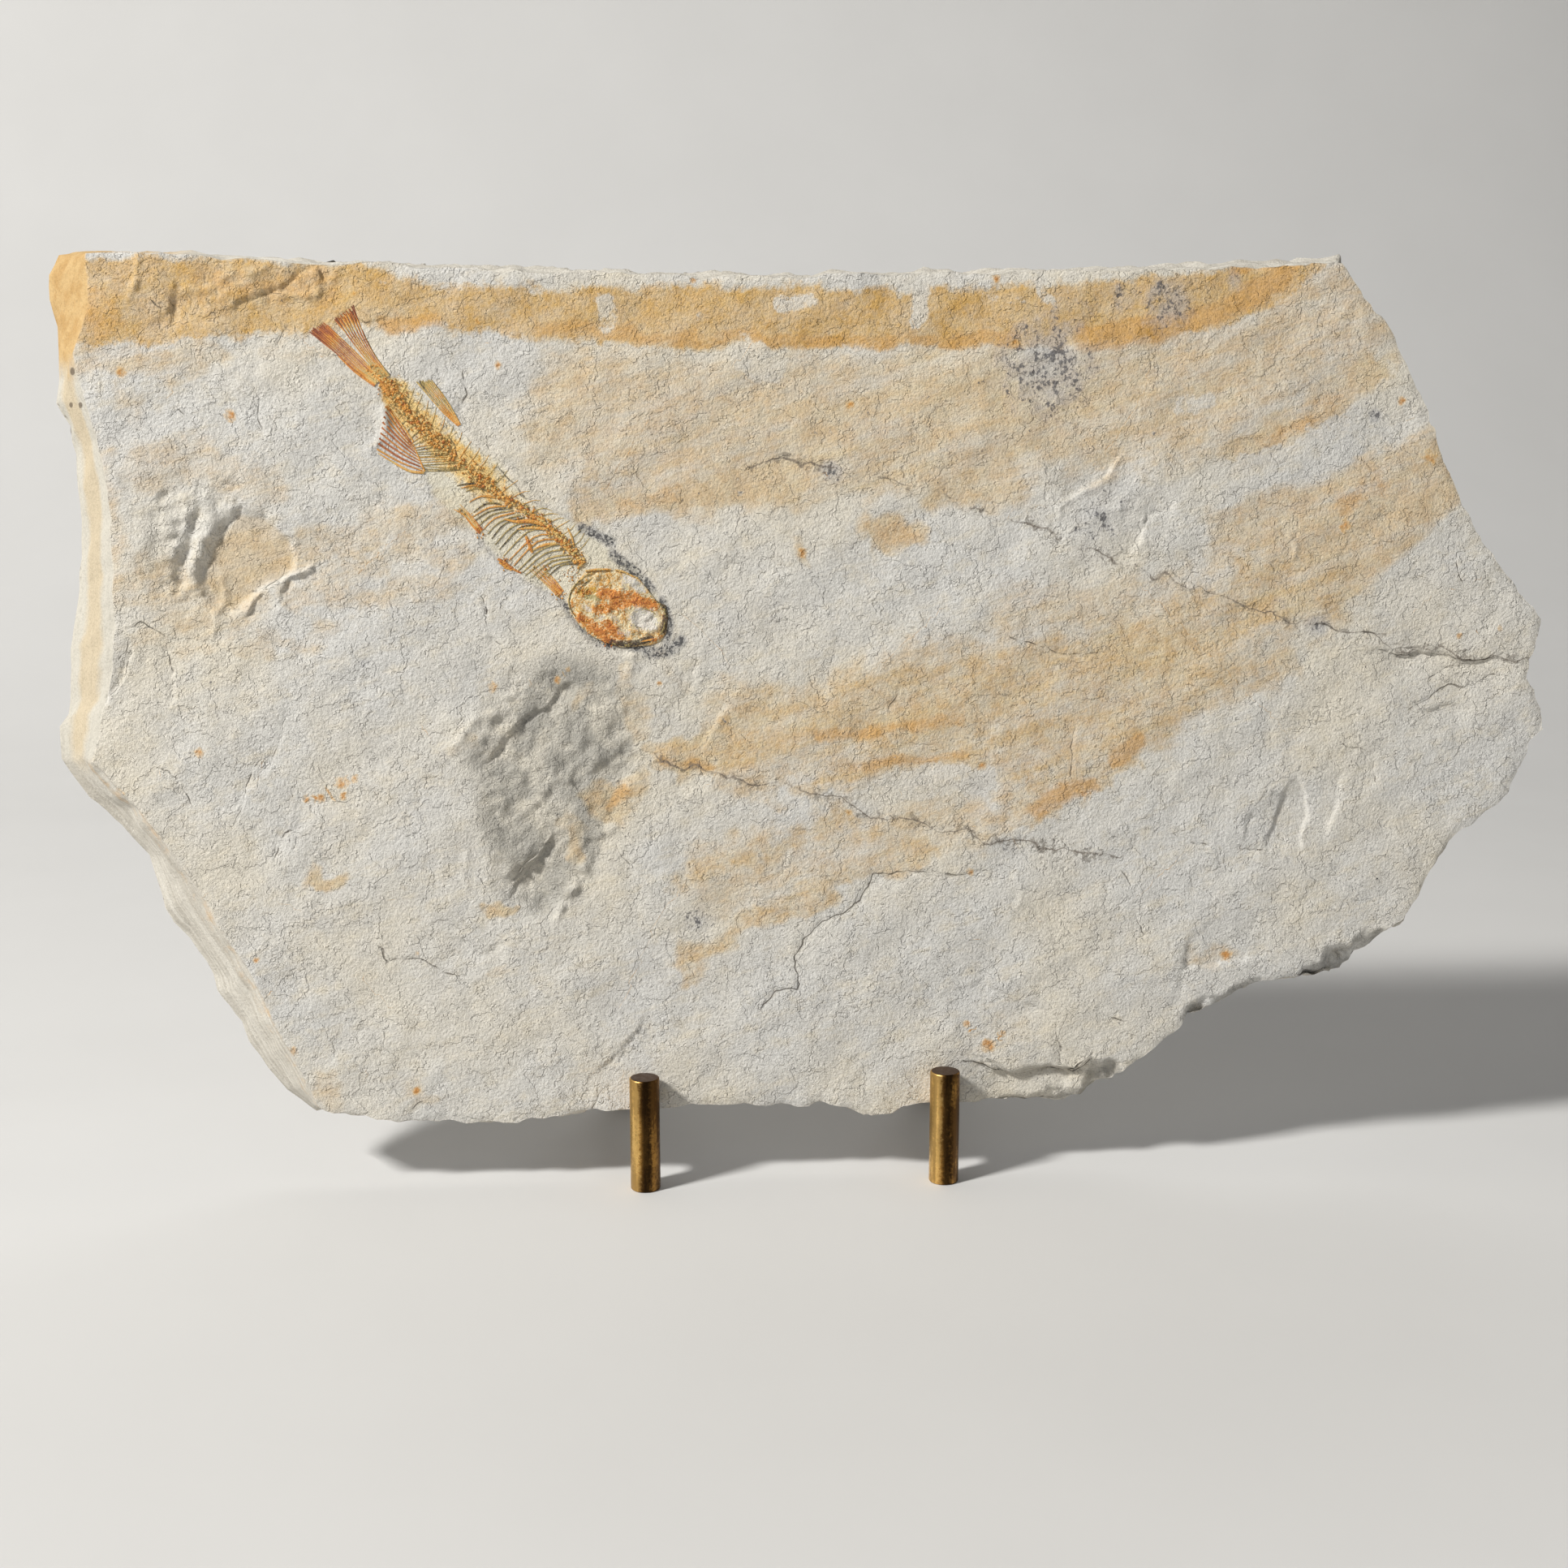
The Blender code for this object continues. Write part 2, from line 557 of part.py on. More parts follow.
def make_support(side, parent):
    """One support: a front post, a pin under the slab, and a rear leg against its back."""
    brass = material("brass", (0.32, 0.2, 0.07), 0.35, 1.0)
    name = "left" if side < 0 else "right"
    frame = holder("support_" + name, (side * POST_HALF_SPAN, 0, 0), (0, 0, -side * TOE_OUT))
    frame.parent = parent
    post = add_object("front_post_" + name, rod_mesh(POST_RADIUS, POST_HEIGHT), brass, frame)
    rim = LEG_TOP - LEG_RADIUS * math.sin(LEG_SLOPE)
    top = slab_back(rim) / math.cos(TOE_OUT) + 2 * GAP + LEG_RADIUS * math.cos(LEG_SLOPE)
    foot = top + LEG_TOP * math.tan(LEG_SLOPE)
    length = LEG_TOP / math.cos(LEG_SLOPE)
    spare = 6.0
    mesh = rod_mesh(LEG_RADIUS, length + spare)
    bmesh.ops.transform(mesh, matrix=Matrix.Translation((0, 0, -spare)), verts=mesh.verts)
    bmesh.ops.rotate(mesh, verts=mesh.verts, matrix=Matrix.Rotation(LEG_SLOPE, 3, "X"))
    cut = bmesh.ops.bisect_plane(mesh, geom=mesh.verts[:] + mesh.edges[:] + mesh.faces[:], dist=0.0001,
                                 plane_co=(0, 0, 0), plane_no=(0, 0, -1), clear_outer=True)
    sole = [item for item in cut["geom_cut"] if isinstance(item, bmesh.types.BMEdge)]
    bmesh.ops.contextual_create(mesh, geom=sole)
    leg = add_object("rear_leg_" + name, mesh, brass, frame, (0, foot, 0))
    leg_at_pin = foot - PIN_HEIGHT * math.tan(LEG_SLOPE)
    start = POST_RADIUS - BORE_DEPTH
    end = leg_at_pin - LEG_RADIUS / math.cos(LEG_SLOPE) + BORE_DEPTH
    add_object("rest_pin_" + name, rod_mesh(PIN_RADIUS, end - start), brass, frame,
               (0, start, PIN_HEIGHT), (-math.pi / 2, 0, 0))
    reach = BORE_DEPTH + 2
    bore(post, (0, start - GAP + reach, PIN_HEIGHT), frame, brass)
    bore(leg, (0, end + GAP - reach, PIN_HEIGHT), frame, brass)


def stand_on_origin(root):
    """Move everything so that the middle of its foot is the origin."""
    bpy.context.view_layer.update()
    places = [obj.matrix_world @ vert.co for obj in bpy.data.objects
              if obj.type == "MESH" and not obj.hide_render for vert in obj.data.vertices]
    for axis in (0, 1):
        values = [place[axis] for place in places]
        root.location[axis] -= (min(values) + max(values)) / 2


def main():
    clear_scene()
    root = holder("fossil_fish_slab", (0, 0, 0))
    slab_frame = holder("slab_frame", (0, FACE_Y, FACE_HEIGHT), (-LEAN, 0, 0))
    slab_frame.parent = root
    stone = material("stone", (0.6, 0.56, 0.5), 0.85)
    add_object("slab", slab_mesh(), stone, slab_frame)
    make_fish(slab_frame)
    for side in (-1, 1):
        make_support(side, root)
    stand_on_origin(root)


main()
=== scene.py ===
# %% [markdown]
# # A fossil fish in a limestone slab
# A pale plate of lithographic limestone stands on two small brass supports. A little fish lies in its face,
# and iron has stained the stone in tan bands. The measured solids come first, as a fixed frame. Everything
# that is seen is then built around them, so a piece goes where its solid says and needs no fitting.

# %% Load the frame
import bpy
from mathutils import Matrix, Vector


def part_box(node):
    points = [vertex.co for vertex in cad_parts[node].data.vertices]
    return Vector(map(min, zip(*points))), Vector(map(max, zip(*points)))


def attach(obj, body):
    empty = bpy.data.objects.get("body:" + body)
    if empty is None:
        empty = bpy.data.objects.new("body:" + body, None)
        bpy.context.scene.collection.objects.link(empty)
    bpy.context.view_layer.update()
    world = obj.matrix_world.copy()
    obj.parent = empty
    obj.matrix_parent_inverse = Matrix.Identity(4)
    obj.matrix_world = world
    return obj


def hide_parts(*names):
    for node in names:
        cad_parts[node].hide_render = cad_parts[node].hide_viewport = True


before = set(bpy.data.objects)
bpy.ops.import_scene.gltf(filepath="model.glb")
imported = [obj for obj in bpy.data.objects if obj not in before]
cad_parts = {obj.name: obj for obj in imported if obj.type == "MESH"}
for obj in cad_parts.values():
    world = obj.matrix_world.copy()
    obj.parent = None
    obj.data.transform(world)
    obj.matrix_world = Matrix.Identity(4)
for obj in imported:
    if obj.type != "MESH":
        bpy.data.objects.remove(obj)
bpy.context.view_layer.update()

import itertools
import math
import random

import bmesh
import bpy
import numpy as np
from mathutils import Matrix, Vector, kdtree

MM = 0.001

# %% [markdown]
# ## The slab's own ruler
# The slab leans back, so room coordinates are awkward for placing a rib or a stain. A second ruler lies in
# the slab's face: across, then depth into the stone, then up the face, all in millimetres. Its zero is
# midway between the front posts, which their boxes give. One matrix changes from this ruler to the room.

# %% Find the ruler from the posts
LEAN = math.radians(6)
FACE_BEHIND_POSTS = 4.457
FACE_ZERO_HEIGHT = 22.0
posts = np.array([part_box("front_post_left"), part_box("front_post_right")]) / MM
post_middles = posts.mean(axis=1)
middle_x, middle_y = post_middles[:, 0].mean(), post_middles[:, 1].mean()
slab_to_room = (Matrix.Scale(MM, 4)
                @ Matrix.Translation((middle_x, middle_y + FACE_BEHIND_POSTS, FACE_ZERO_HEIGHT))
                @ Matrix.Rotation(-LEAN, 4, "X"))
room_to_slab = slab_to_room.inverted()
print("posts' middle:", round(middle_x, 2), round(middle_y, 2))

# %% [markdown]
# ## The camera
# The picture is square. The lens is near the eye's own angle, a little above the slab's middle and a little
# to the left, so that the slanted break on the left shows. The place is in room millimetres.

# %% Set the camera
CAMERA_PLACE = Vector((-42.76, -533.38, 200.6)) * MM
CAMERA_TILT = math.radians(-10.33)
CAMERA_TURN = math.radians(-3.85)
SENSOR_WIDTH = 36.0
LENS = 44.72
camera_data = bpy.data.cameras.new("camera")
camera_data.sensor_width = SENSOR_WIDTH
camera_data.lens = LENS
camera = bpy.data.objects.new("camera", camera_data)
camera.location = CAMERA_PLACE
camera.rotation_euler = (math.pi / 2 + CAMERA_TILT, 0, CAMERA_TURN)
bpy.context.collection.objects.link(camera)
bpy.context.scene.camera = camera
print("camera at", tuple(round(v, 3) for v in CAMERA_PLACE))

# %% [markdown]
# ## Writing a finish as a sum
# A procedural finish is a net of small nodes. Drawn by hand it is easy to follow, but in a script every
# sum takes three lines. A small class wraps a socket, so that maths on it adds the Math nodes by itself,
# and one method makes any other node. The finishes below then read like recipes.

# %% The socket wrapper
def paint(red, green, blue):
    """A colour of eight-bit screen values as the linear colour that a shader wants."""
    parts = [value / 255 for value in (red, green, blue)]
    return [v / 12.92 if v <= 0.04045 else ((v + 0.055) / 1.055) ** 2.4 for v in parts] + [1]


class Field:
    """A socket that can be added, multiplied and compared."""

    def __init__(self, finish, socket):
        self.finish = finish
        self.socket = socket

    def maths(self, operation, *values):
        return self.finish.node("ShaderNodeMath", {"operation": operation}, dict(enumerate(values)))

    def __add__(self, other):
        return self.maths("ADD", self, other)

    def __radd__(self, other):
        return self.maths("ADD", other, self)

    def __sub__(self, other):
        return self.maths("SUBTRACT", self, other)

    def __rsub__(self, other):
        return self.maths("SUBTRACT", other, self)

    def __mul__(self, other):
        return self.maths("MULTIPLY", self, other)

    def __rmul__(self, other):
        return self.maths("MULTIPLY", other, self)

    def __abs__(self):
        return self.maths("ABSOLUTE", self)

    def at_least(self, other):
        return self.maths("MAXIMUM", self, other)

    def ramp(self, low, high):
        """A soft step: 0 at low, 1 at high. It falls when low is the larger."""
        values = {"Value": self, "From Min": low, "From Max": high}
        return self.finish.node("ShaderNodeMapRange", {"interpolation_type": "SMOOTHSTEP"}, values)


print("middle grey as a linear colour:", [round(part, 3) for part in paint(128, 128, 128)])

# %% The finish and its nodes
class Finish:
    """A material and its nodes. Sizes are in millimetres."""

    def __init__(self, name, roughness, metallic=0.0):
        self.material = bpy.data.materials.new(name)
        self.material.use_nodes = True
        self.tree = self.material.node_tree
        self.shader = self.tree.nodes["Principled BSDF"]
        self.shader.inputs["Roughness"].default_value = roughness
        self.shader.inputs["Metallic"].default_value = metallic
        self.place = self.node("ShaderNodeTexCoord", {}, {}, "Object")

    def node(self, kind, settings, values, output=0):
        """Make a node, then its settings, then its sockets by name or number."""
        made = self.tree.nodes.new(kind)
        for name, value in settings.items():
            setattr(made, name, value)
        for name, value in values.items():
            self.put(made.inputs[name], value)
        return Field(self, made.outputs[output])

    def put(self, socket, value):
        if isinstance(value, Field):
            self.tree.links.new(value.socket, socket)
        else:
            socket.default_value = value

    def set(self, name, value):
        self.put(self.shader.inputs[name], value)

    def noise(self, size, detail=3.0, roughness=0.55, stretch=None):
        """Cloudy noise, about 0.5 on average, whose lumps are about this size."""
        values = {"Vector": stretch or self.place, "Scale": 1 / (size * MM), "Detail": detail,
                  "Roughness": roughness}
        return self.node("ShaderNodeTexNoise", {}, values)

    def drawn_out(self, factors, turn=(0, 0, 0)):
        """The place, turned and then drawn out along each axis, so that a pattern runs along it."""
        values = {"Vector": self.place, "Rotation": turn, "Scale": factors}
        return self.node("ShaderNodeMapping", {"vector_type": "TEXTURE"}, values)

    def attribute(self, name):
        return self.node("ShaderNodeAttribute", {"attribute_name": name}, {}, "Fac")

    def mix(self, part, first, second):
        """A blend of two colours."""
        return self.node("ShaderNodeMix", {"data_type": "RGBA"}, {0: part, 6: first, 7: second}, 2)

    def shade(self, part, colour, factor):
        """Darken or lighten a colour by a factor, where part is 1."""
        values = {0: part, 6: colour, 7: (factor, factor, factor, 1)}
        return self.node("ShaderNodeMix", {"data_type": "RGBA", "blend_type": "MULTIPLY"}, values, 2)

    def coats(self, colour, rows):
        """Lay coats over a colour, each where its part is 1. A coat is a screen colour or a mixed one."""
        for part, coat in rows:
            colour = self.mix(part, colour, coat if isinstance(coat, Field) else paint(*coat))
        return colour

    def relief(self, height, strength=1.0):
        """Send a height in millimetres to the shader's normal."""
        values = {"Height": height, "Distance": MM, "Strength": strength}
        self.set("Normal", self.node("ShaderNodeBump", {}, values))


print("a finish can make:", [name for name in vars(Finish) if not name.startswith("_")])

# %% [markdown]
# ## A plain pale studio
# The floor and the backdrop are one sheet, bent up behind the slab in a wide curve so that no corner
# shows. It starts as a flat grid, and the rows behind the bend are rolled onto a quarter circle and then
# straight up. It isn't part of the object.

# %% Roll the backdrop
SHEET_HALF = 3.0
BEND_START = 0.55
BEND_RADIUS = 0.7
sheet = bmesh.new()
bmesh.ops.create_grid(sheet, x_segments=4, y_segments=90, size=SHEET_HALF)
for vert in sheet.verts:
    past = vert.co.y - BEND_START
    if past > 0:
        angle = min(past / BEND_RADIUS, math.pi / 2)
        rise = max(0.0, past - BEND_RADIUS * math.pi / 2)
        vert.co.y = BEND_START + BEND_RADIUS * math.sin(angle)
        vert.co.z = BEND_RADIUS * (1 - math.cos(angle)) + rise
sheet_mesh = bpy.data.meshes.new("backdrop")
sheet.to_mesh(sheet_mesh)
sheet.free()
for polygon in sheet_mesh.polygons:
    polygon.use_smooth = True
backdrop = bpy.data.objects.new("backdrop", sheet_mesh)
bpy.context.collection.objects.link(backdrop)
paper = Finish("backdrop_paper", 0.7)
paper.set("Base Color", paper.mix(paper.noise(90), paint(198, 197, 195), paint(204, 203, 201)))
sheet_mesh.materials.append(paper.material)
print("backdrop faces:", len(sheet_mesh.polygons))

# %% [markdown]
# ## Light
# Relief this low only shows when light rakes across it. One small strong lamp, the key, stands high on the
# left, near the plane of the face. Big weak panels at the right and in front keep the shadows open, and one
# behind lights the back.

# %% Hang the lamps
SLAB_MIDDLE = Vector((0.0, -0.02, 0.13))
ROOM_GLOW = 0.105
LAMPS = (  # name, place, size, power in watts, colour
    ("key", (-1.66, -0.98, 1.74), (0.34, 0.34), 86.5, (1.0, 0.988, 0.962)),
    ("fill", (1.2, -1.4, 0.7), (1.2, 1.2), 2.4, (0.96, 0.98, 1.0)),
    ("front", (-0.2, -1.6, 1.0), (1.4, 0.8), 1.6, (1.0, 1.0, 1.0)),
    ("back", (0.3, 1.1, 1.3), (1.0, 0.8), 4.0, (1.0, 1.0, 1.0)),
)
for name, place, size, power, colour in LAMPS:
    data = bpy.data.lights.new(name, "AREA")
    data.shape = "RECTANGLE"
    data.size, data.size_y = size
    data.energy = power
    data.color = colour
    lamp = bpy.data.objects.new(name, data)
    lamp.location = place
    lamp.rotation_euler = (SLAB_MIDDLE - Vector(place)).to_track_quat("-Z", "Y").to_euler()
    bpy.context.collection.objects.link(lamp)
world = bpy.data.worlds.new("room")
world.use_nodes = True
world.node_tree.nodes["Background"].inputs["Color"].default_value = (1, 1, 1, 1)
world.node_tree.nodes["Background"].inputs["Strength"].default_value = ROOM_GLOW
bpy.context.scene.world = world
bpy.context.scene.view_settings.view_transform = "Standard"
print("lamps hung")

# %% [markdown]
# ## Noise and distances as arrays
# The slab has about a hundred thousand points. Its relief and stains are worked out for all of them at
# once with arrays. Two helpers do most of it: seeded smooth noise, and the distance from every point to a
# drawn line, with a sign that tells its two sides apart.

# %% Noise for arrays
def wobble(places, size, seed=0, octaves=3):
    """Smooth noise from about -1 to 1. Each octave is half the size of the one before, and turned."""
    total = np.zeros(len(places))
    weight = 1.0
    spin = np.eye(places.shape[1])
    cosine, sine = math.cos(0.7), math.sin(0.7)
    spin[0, 0], spin[0, 1], spin[1, 0], spin[1, 1] = cosine, -sine, sine, cosine
    points = places / size + seed * 7.31
    key_weights = np.array([127.1, 311.7, 74.7])[:places.shape[1]]
    for octave in range(octaves):
        points = points @ spin
        base = np.floor(points)
        part = points - base
        ease = part * part * (3 - 2 * part)
        value = np.zeros(len(places))
        for corner in itertools.product((0, 1), repeat=places.shape[1]):
            chance = np.sin((base + corner) @ key_weights + seed * 3.7 + octave) * 43758.5453
            share = np.prod(np.where(corner, ease, 1 - ease), axis=1)
            value += share * (chance - np.floor(chance))
        total += weight * (2 * value - 1)
        points = points * 2.0
        weight *= 0.5
    return total


def soft_step(values, low, high):
    """0 at low, 1 at high, smooth between."""
    part = np.clip((values - low) / (high - low), 0, 1)
    return part * part * (3 - 2 * part)


print("noise at the slab's zero:", wobble(np.zeros((1, 2)), 10).round(2))

# %% Distances for arrays
def to_line(places, line):
    """Distance to a line, +1 on its right and -1 on its left, and a fade that falls to 0 at its ends."""
    best = np.full(len(places), 1e6)
    side = np.ones(len(places))
    fade = np.zeros(len(places))
    total = sum(math.dist(a, b) for a, b in zip(line, line[1:]))
    walked = 0.0
    for start, end in zip(line, line[1:]):
        start, way = np.array(start), np.subtract(end, start)
        length = np.hypot(*way)
        offset = places - start
        part = np.clip(offset @ way / length ** 2, 0, 1)
        distance = np.hypot(*(offset - part[:, None] * way).T)
        nearer = distance < best
        cross = way[0] * offset[:, 1] - way[1] * offset[:, 0]
        reach = walked + part * length
        best = np.where(nearer, distance, best)
        side = np.where(nearer, np.where(cross > 0, -1.0, 1.0), side)
        fade = np.where(nearer, np.clip(4 * np.minimum(reach, total - reach) / total, 0, 1), fade)
        walked += length
    return best, side, fade


def to_outline(places, outline):
    """Signed distance to a closed outline, positive inside."""
    ring = outline + outline[:1]
    distance = to_line(places, ring)[0]
    inside = np.zeros(len(places), bool)
    for (ax, az), (bx, bz) in zip(ring, ring[1:]):
        if az != bz:
            crosses = (az > places[:, 1]) != (bz > places[:, 1])
            inside ^= crosses & (places[:, 0] < ax + (bx - ax) * (places[:, 1] - az) / (bz - az))
    return np.where(inside, distance, -distance)


SQUARE = [(0, 0), (10, 0), (10, 10), (0, 10)]
print("from inside a square to its edge:", to_outline(np.array([(2.0, 5.0)]), SQUARE))

# %% Many lines, strokes and spots
FAR = 50.0


def close_to(places, line, reach):
    """Numbers of the points in the line's own box, grown by a reach, so the rest needn't be measured."""
    low, high = np.min(line, axis=0) - reach, np.max(line, axis=0) + reach
    return np.nonzero(((places > low) & (places < high)).all(axis=1))[0]


def nearest_line(places, lines, reach=4.0):
    """Signed distance to the nearest of several lines, and the plain distance. Beyond reach it is FAR."""
    signed = np.full(len(places), FAR)
    for line in lines:
        near = close_to(places, line, reach)
        distance, side, _ = to_line(places[near], line)
        signed[near] = np.where(distance < abs(signed[near]), side * distance, signed[near])
    return signed, abs(signed)


def strokes(places, table):
    """The strongest of several soft brush strokes, each a line, a half width and a strength."""
    strongest = np.zeros(len(places))
    for line, half_width, strength in table:
        near = close_to(places, line, half_width * 1.5)
        distance = to_line(places[near], line)[0]
        strength_here = strength * soft_step(distance, half_width * 1.5, half_width * 0.35)
        strongest[near] = np.maximum(strongest[near], strength_here)
    return strongest


def spots(places, table):
    """The strongest of several round spots (across, up, radius, strength)."""
    strongest = np.zeros(len(places))
    for across, up, radius, strength in table:
        distance = np.hypot(places[:, 0] - across, places[:, 1] - up)
        strongest = np.maximum(strongest, strength * np.clip(1 - distance / (1.6 * radius), 0, 1))
    return strongest


print("inside a stroke's end:", strokes(np.array([(0.5, 0.0)]), [([(0, 0), (5, 0)], 2, 0.8)]))

# %% [markdown]
# ## The fish's outline
# The slab has to know where the fish lies, because the stone dips, stains and cracks around it. These are
# the outline of the body, the line of the backbone and the outline of the skull, on the slab's ruler. There
# are hundreds of such points in this lesson, so they are written as text and one helper reads them: words
# with a comma are points, plain numbers belong to the row, and a semicolon ends a row.

# %% Read drawings from text
def drawn(text):
    """Rows that start with a list of points, followed by the row's plain numbers."""
    rows = []
    for words in (row.split() for row in text.split(";")):
        points = [tuple(float(part) for part in word.split(",")) for word in words if "," in word]
        rows.append([points] + [float(word) for word in words if "," not in word])
    return rows


def lines(text):
    return [row[0] for row in drawn(text)]


def outline(text):
    return lines(text)[0]


print("a drawn row:", drawn("0,0 10,5 20,5 1.5"))

# %% Outlines of the fish
BACKBONE = outline("""-104.5,191.2 -102,187.6 -98.5,182.5 -94,178.2 -89.5,174.2 -82.4,168.1 -78.5,164.4
    -74,161 -68,157.5 -64.4,155 -60.6,151.2 -58.2,148.5 -55,144.5""")
BODY = outline("""-104.8,192.8 -101,193 -96,189 -90,182.5 -85.6,178.7 -81.3,174.3 -75.3,170.5 -71.8,164.6
    -66.6,159.6 -59,156.4 -51.5,152 -46.2,146.5 -40.3,143.5 -36.6,137.8 -32.8,132.4 -33.5,125.6 -37,122.6
    -44.2,121.9 -52,123.6 -57,128.7 -61,135.4 -67,139.2 -72.2,141.8 -76.6,145.6 -81.7,151.8 -87.7,157
    -93,162.3 -95.4,167.6 -99.6,173.5 -103.8,180.5 -105.6,186.5 -106.4,190.2""")
SKULL = outline("""-54.5,142.8 -49.5,143.3 -44,142.2 -40.5,141 -38,138 -35.5,134.8 -33,133.3 -32.5,130.5
    -33,126.5 -34.5,124 -37.5,122.8 -45,122.3 -49.5,123.9 -53,125.9 -56,128.2 -58.4,131.5 -59.2,135
    -57.8,138.8""")
TAIL_UPPER = outline("""-103.7,193.4 -107.3,197.6 -110.4,203.6 -113,211.6 -117.4,207.6 -115.2,202.9
    -110.5,198 -106.5,192""")
TAIL_LOWER = outline("""-106,192.8 -110.5,197 -115.6,202 -120.8,207 -124.2,204.4 -118.2,199.2 -112.9,193.9
    -108.2,190.2""")
FISH_FIELD = outline("-132,216 -95,216 -26,156 -24,114 -64,114 -118,168")
ANAL_RIM = outline("-105.4,186.4 -105.1,183 -105.1,180 -106.3,177.2 -108.2,175 -111,173.6")
print("backbone length:", round(sum(math.dist(a, b) for a, b in zip(BACKBONE, BACKBONE[1:])), 1), "mm")

# %% [markdown]
# ## The slab: a fine skin over the packed solid
# The packed slab has the right outline and thickness, but its facets are almost ten millimetres wide. A
# copy of it is merged into one skin, and each face is told apart as front, back or broken edge. Then every
# edge that is longer than it should be is cut in half, again and again. The cuts are closest round the
# fish, the hollow and the cracks, because that is where the eye goes.

# %% Copy, merge and sort the slab's faces
FRONT, BACK, WALL = 0, 1, 2
SLANT_ENDS = -100
DEEPEST_LEFT, DEEPEST_RIGHT = 4.3, 11.5
FACES_FORWARD, FACES_BACK = -0.55, 0.75
BACK_STARTS = 10


def copy_node(name):
    """A merged bmesh of a packed solid, in slab millimetres."""
    mesh = bmesh.new()
    mesh.from_mesh(bpy.data.objects[name].data)
    bmesh.ops.remove_doubles(mesh, verts=mesh.verts, dist=0.00001)
    bmesh.ops.transform(mesh, matrix=room_to_slab, verts=mesh.verts)
    mesh.normal_update()
    return mesh


slab = copy_node("slab")
for face in slab.faces:
    face.smooth = True
    face.material_index = WALL
    depths = [vert.co.y for vert in face.verts]
    deepest = DEEPEST_LEFT if face.calc_center_median().x < SLANT_ENDS else DEEPEST_RIGHT
    if face.normal.y < FACES_FORWARD and max(depths) < deepest:
        face.material_index = FRONT
    elif face.normal.y > FACES_BACK and min(depths) > BACK_STARTS:
        face.material_index = BACK
print("slab faces at the start:", len(slab.faces))

# %% Marks on the stone that need close cuts
HOLLOW = outline("""-144,158 -137,157 -131,152 -129.5,147 -131,141.5 -139,138.5 -146,132.5 -150,135
    -153.5,141 -151.5,148""")
WRECK = outline("-166,166 -156,171 -143,168 -140,160 -149,133 -158,130 -167,138 -169,152")
ROUGH_PATCH = outline("""-82,107 -74,117 -60,121 -46,118 -40,105 -38,92 -46,84 -48,72 -54,60 -62,51 -74,50
    -80,60 -83,78 -87,92""")
# The first line follows the ledge at the foot; where the finish darkens it, that is a painted shadow.
CRACKS = lines("""47,9.2 55,8.2 60.5,6.3 70,6.4 77,5.4 81,9.5; -9,26 -5,29.5 1,29.5 2,31 1.2,35 1.4,40
    3.6,44.5 10,49.5 16.7,52.3 21,57 21.8,61; -172,129 -170,130 -167,128 -162,126 -154,126 -149,126;
    -173,125 -175,120; -172,123 -173,117 -176,112 -179,107; -108,41 -103,40 -99,40 -91,36; -108,41 -111,50;
    -140,93 -144,84 -147,78; -133,106 -136,95 -139,89; -163,123 -162,117 -162,110; -81,132 -80,129 -77,124;
    -84,137 -81,135 -80,131; -24,122 -26,115 -27,111; 0,68 -4,61; 27,106 31,111; -102,0 -97,5 -93,8; -55,-1
    -53,3 -51,5; 76,99 75,86; 93,53 95,44; 71,19 73,8; 87,21 90,19; 181,144 182,138; 129,66 122,66 125,77;
    -137,190 -137,186 -136,179; -158,185 -155,181 -153,179; -112,208 -109,206 -104,208; -129,78 -133,74
    -136,67; 142,127 151,125 160,124 173,120; 158,119 165,120 174,119 182,118 189,118 196,117; 174,112
    177,114 183,116 184,117; 169,105 178,109 184,111 192,113; -160,211 -160,206; -152,207 -148,209; -163,212
    -162,210; -133,201 -132,204 -130,206; -76,170 -74,166 -69,161; -90,180 -87,176 -87,172; -86,184 -83,188
    -84,193; 90,60 96,52; -47,71 -43,64; -165,92 -160,88 -158,82; 22,61 30,62.6 40,61.4 52,61; 60,125 70,120
    84,121; 104,72 112,68; 150,95 158,92 160,86""")
LEDGES = drawn("""-129.5,216.5 -126,218.8 -121,219.8 -119.8,217 -123,214.6 -1.1 5; 48,10 55,8 60,6 69,7 77,6
    82,11 2.6 30; -179,107 -176,112 -173,117 -172,123 -1.2 8; -83,90 -78,96 -67,106 -57,116 1.2 9; -62,75
    -64,72 -71,64 -77,57 -1.6 9; 139,66 140,72 141,80 137,87 -1 12; 158,119 165,120 174,119 182,118 196,117
    1.1 12; 90,173 82,166 73,160 0.9 10; -160,214 -160,205 -0.9 7; -124,145 -131,141 -133,134 -1 9; -138,137
    -143,130 -0.8 9; -148,212 -140,212 -132,215 -127,220 0.9 12; -163,223 -158,216 -161,209 -168,205 -0.6 9;
    104,162 97,156 93,143 0.6 10; 77,147 91,138 93,134 0.5 9; 136,86 132,77 129,63 -0.7 10; 116,48 109,42
    107,35 123,35 134,39 -0.7 11; -90,47 -82,43 -76,45 0.5 9; -15,109 -21,100 -23,94 0.6 7; -39,27 -45,16
    -56,7 -0.5 10; 40,29 52,31 62,26 71,22 0.5 10; 170,104 177,104 180,105 187,105 0.7 9; 150,90 149,78
    146,66 0.6 9""")
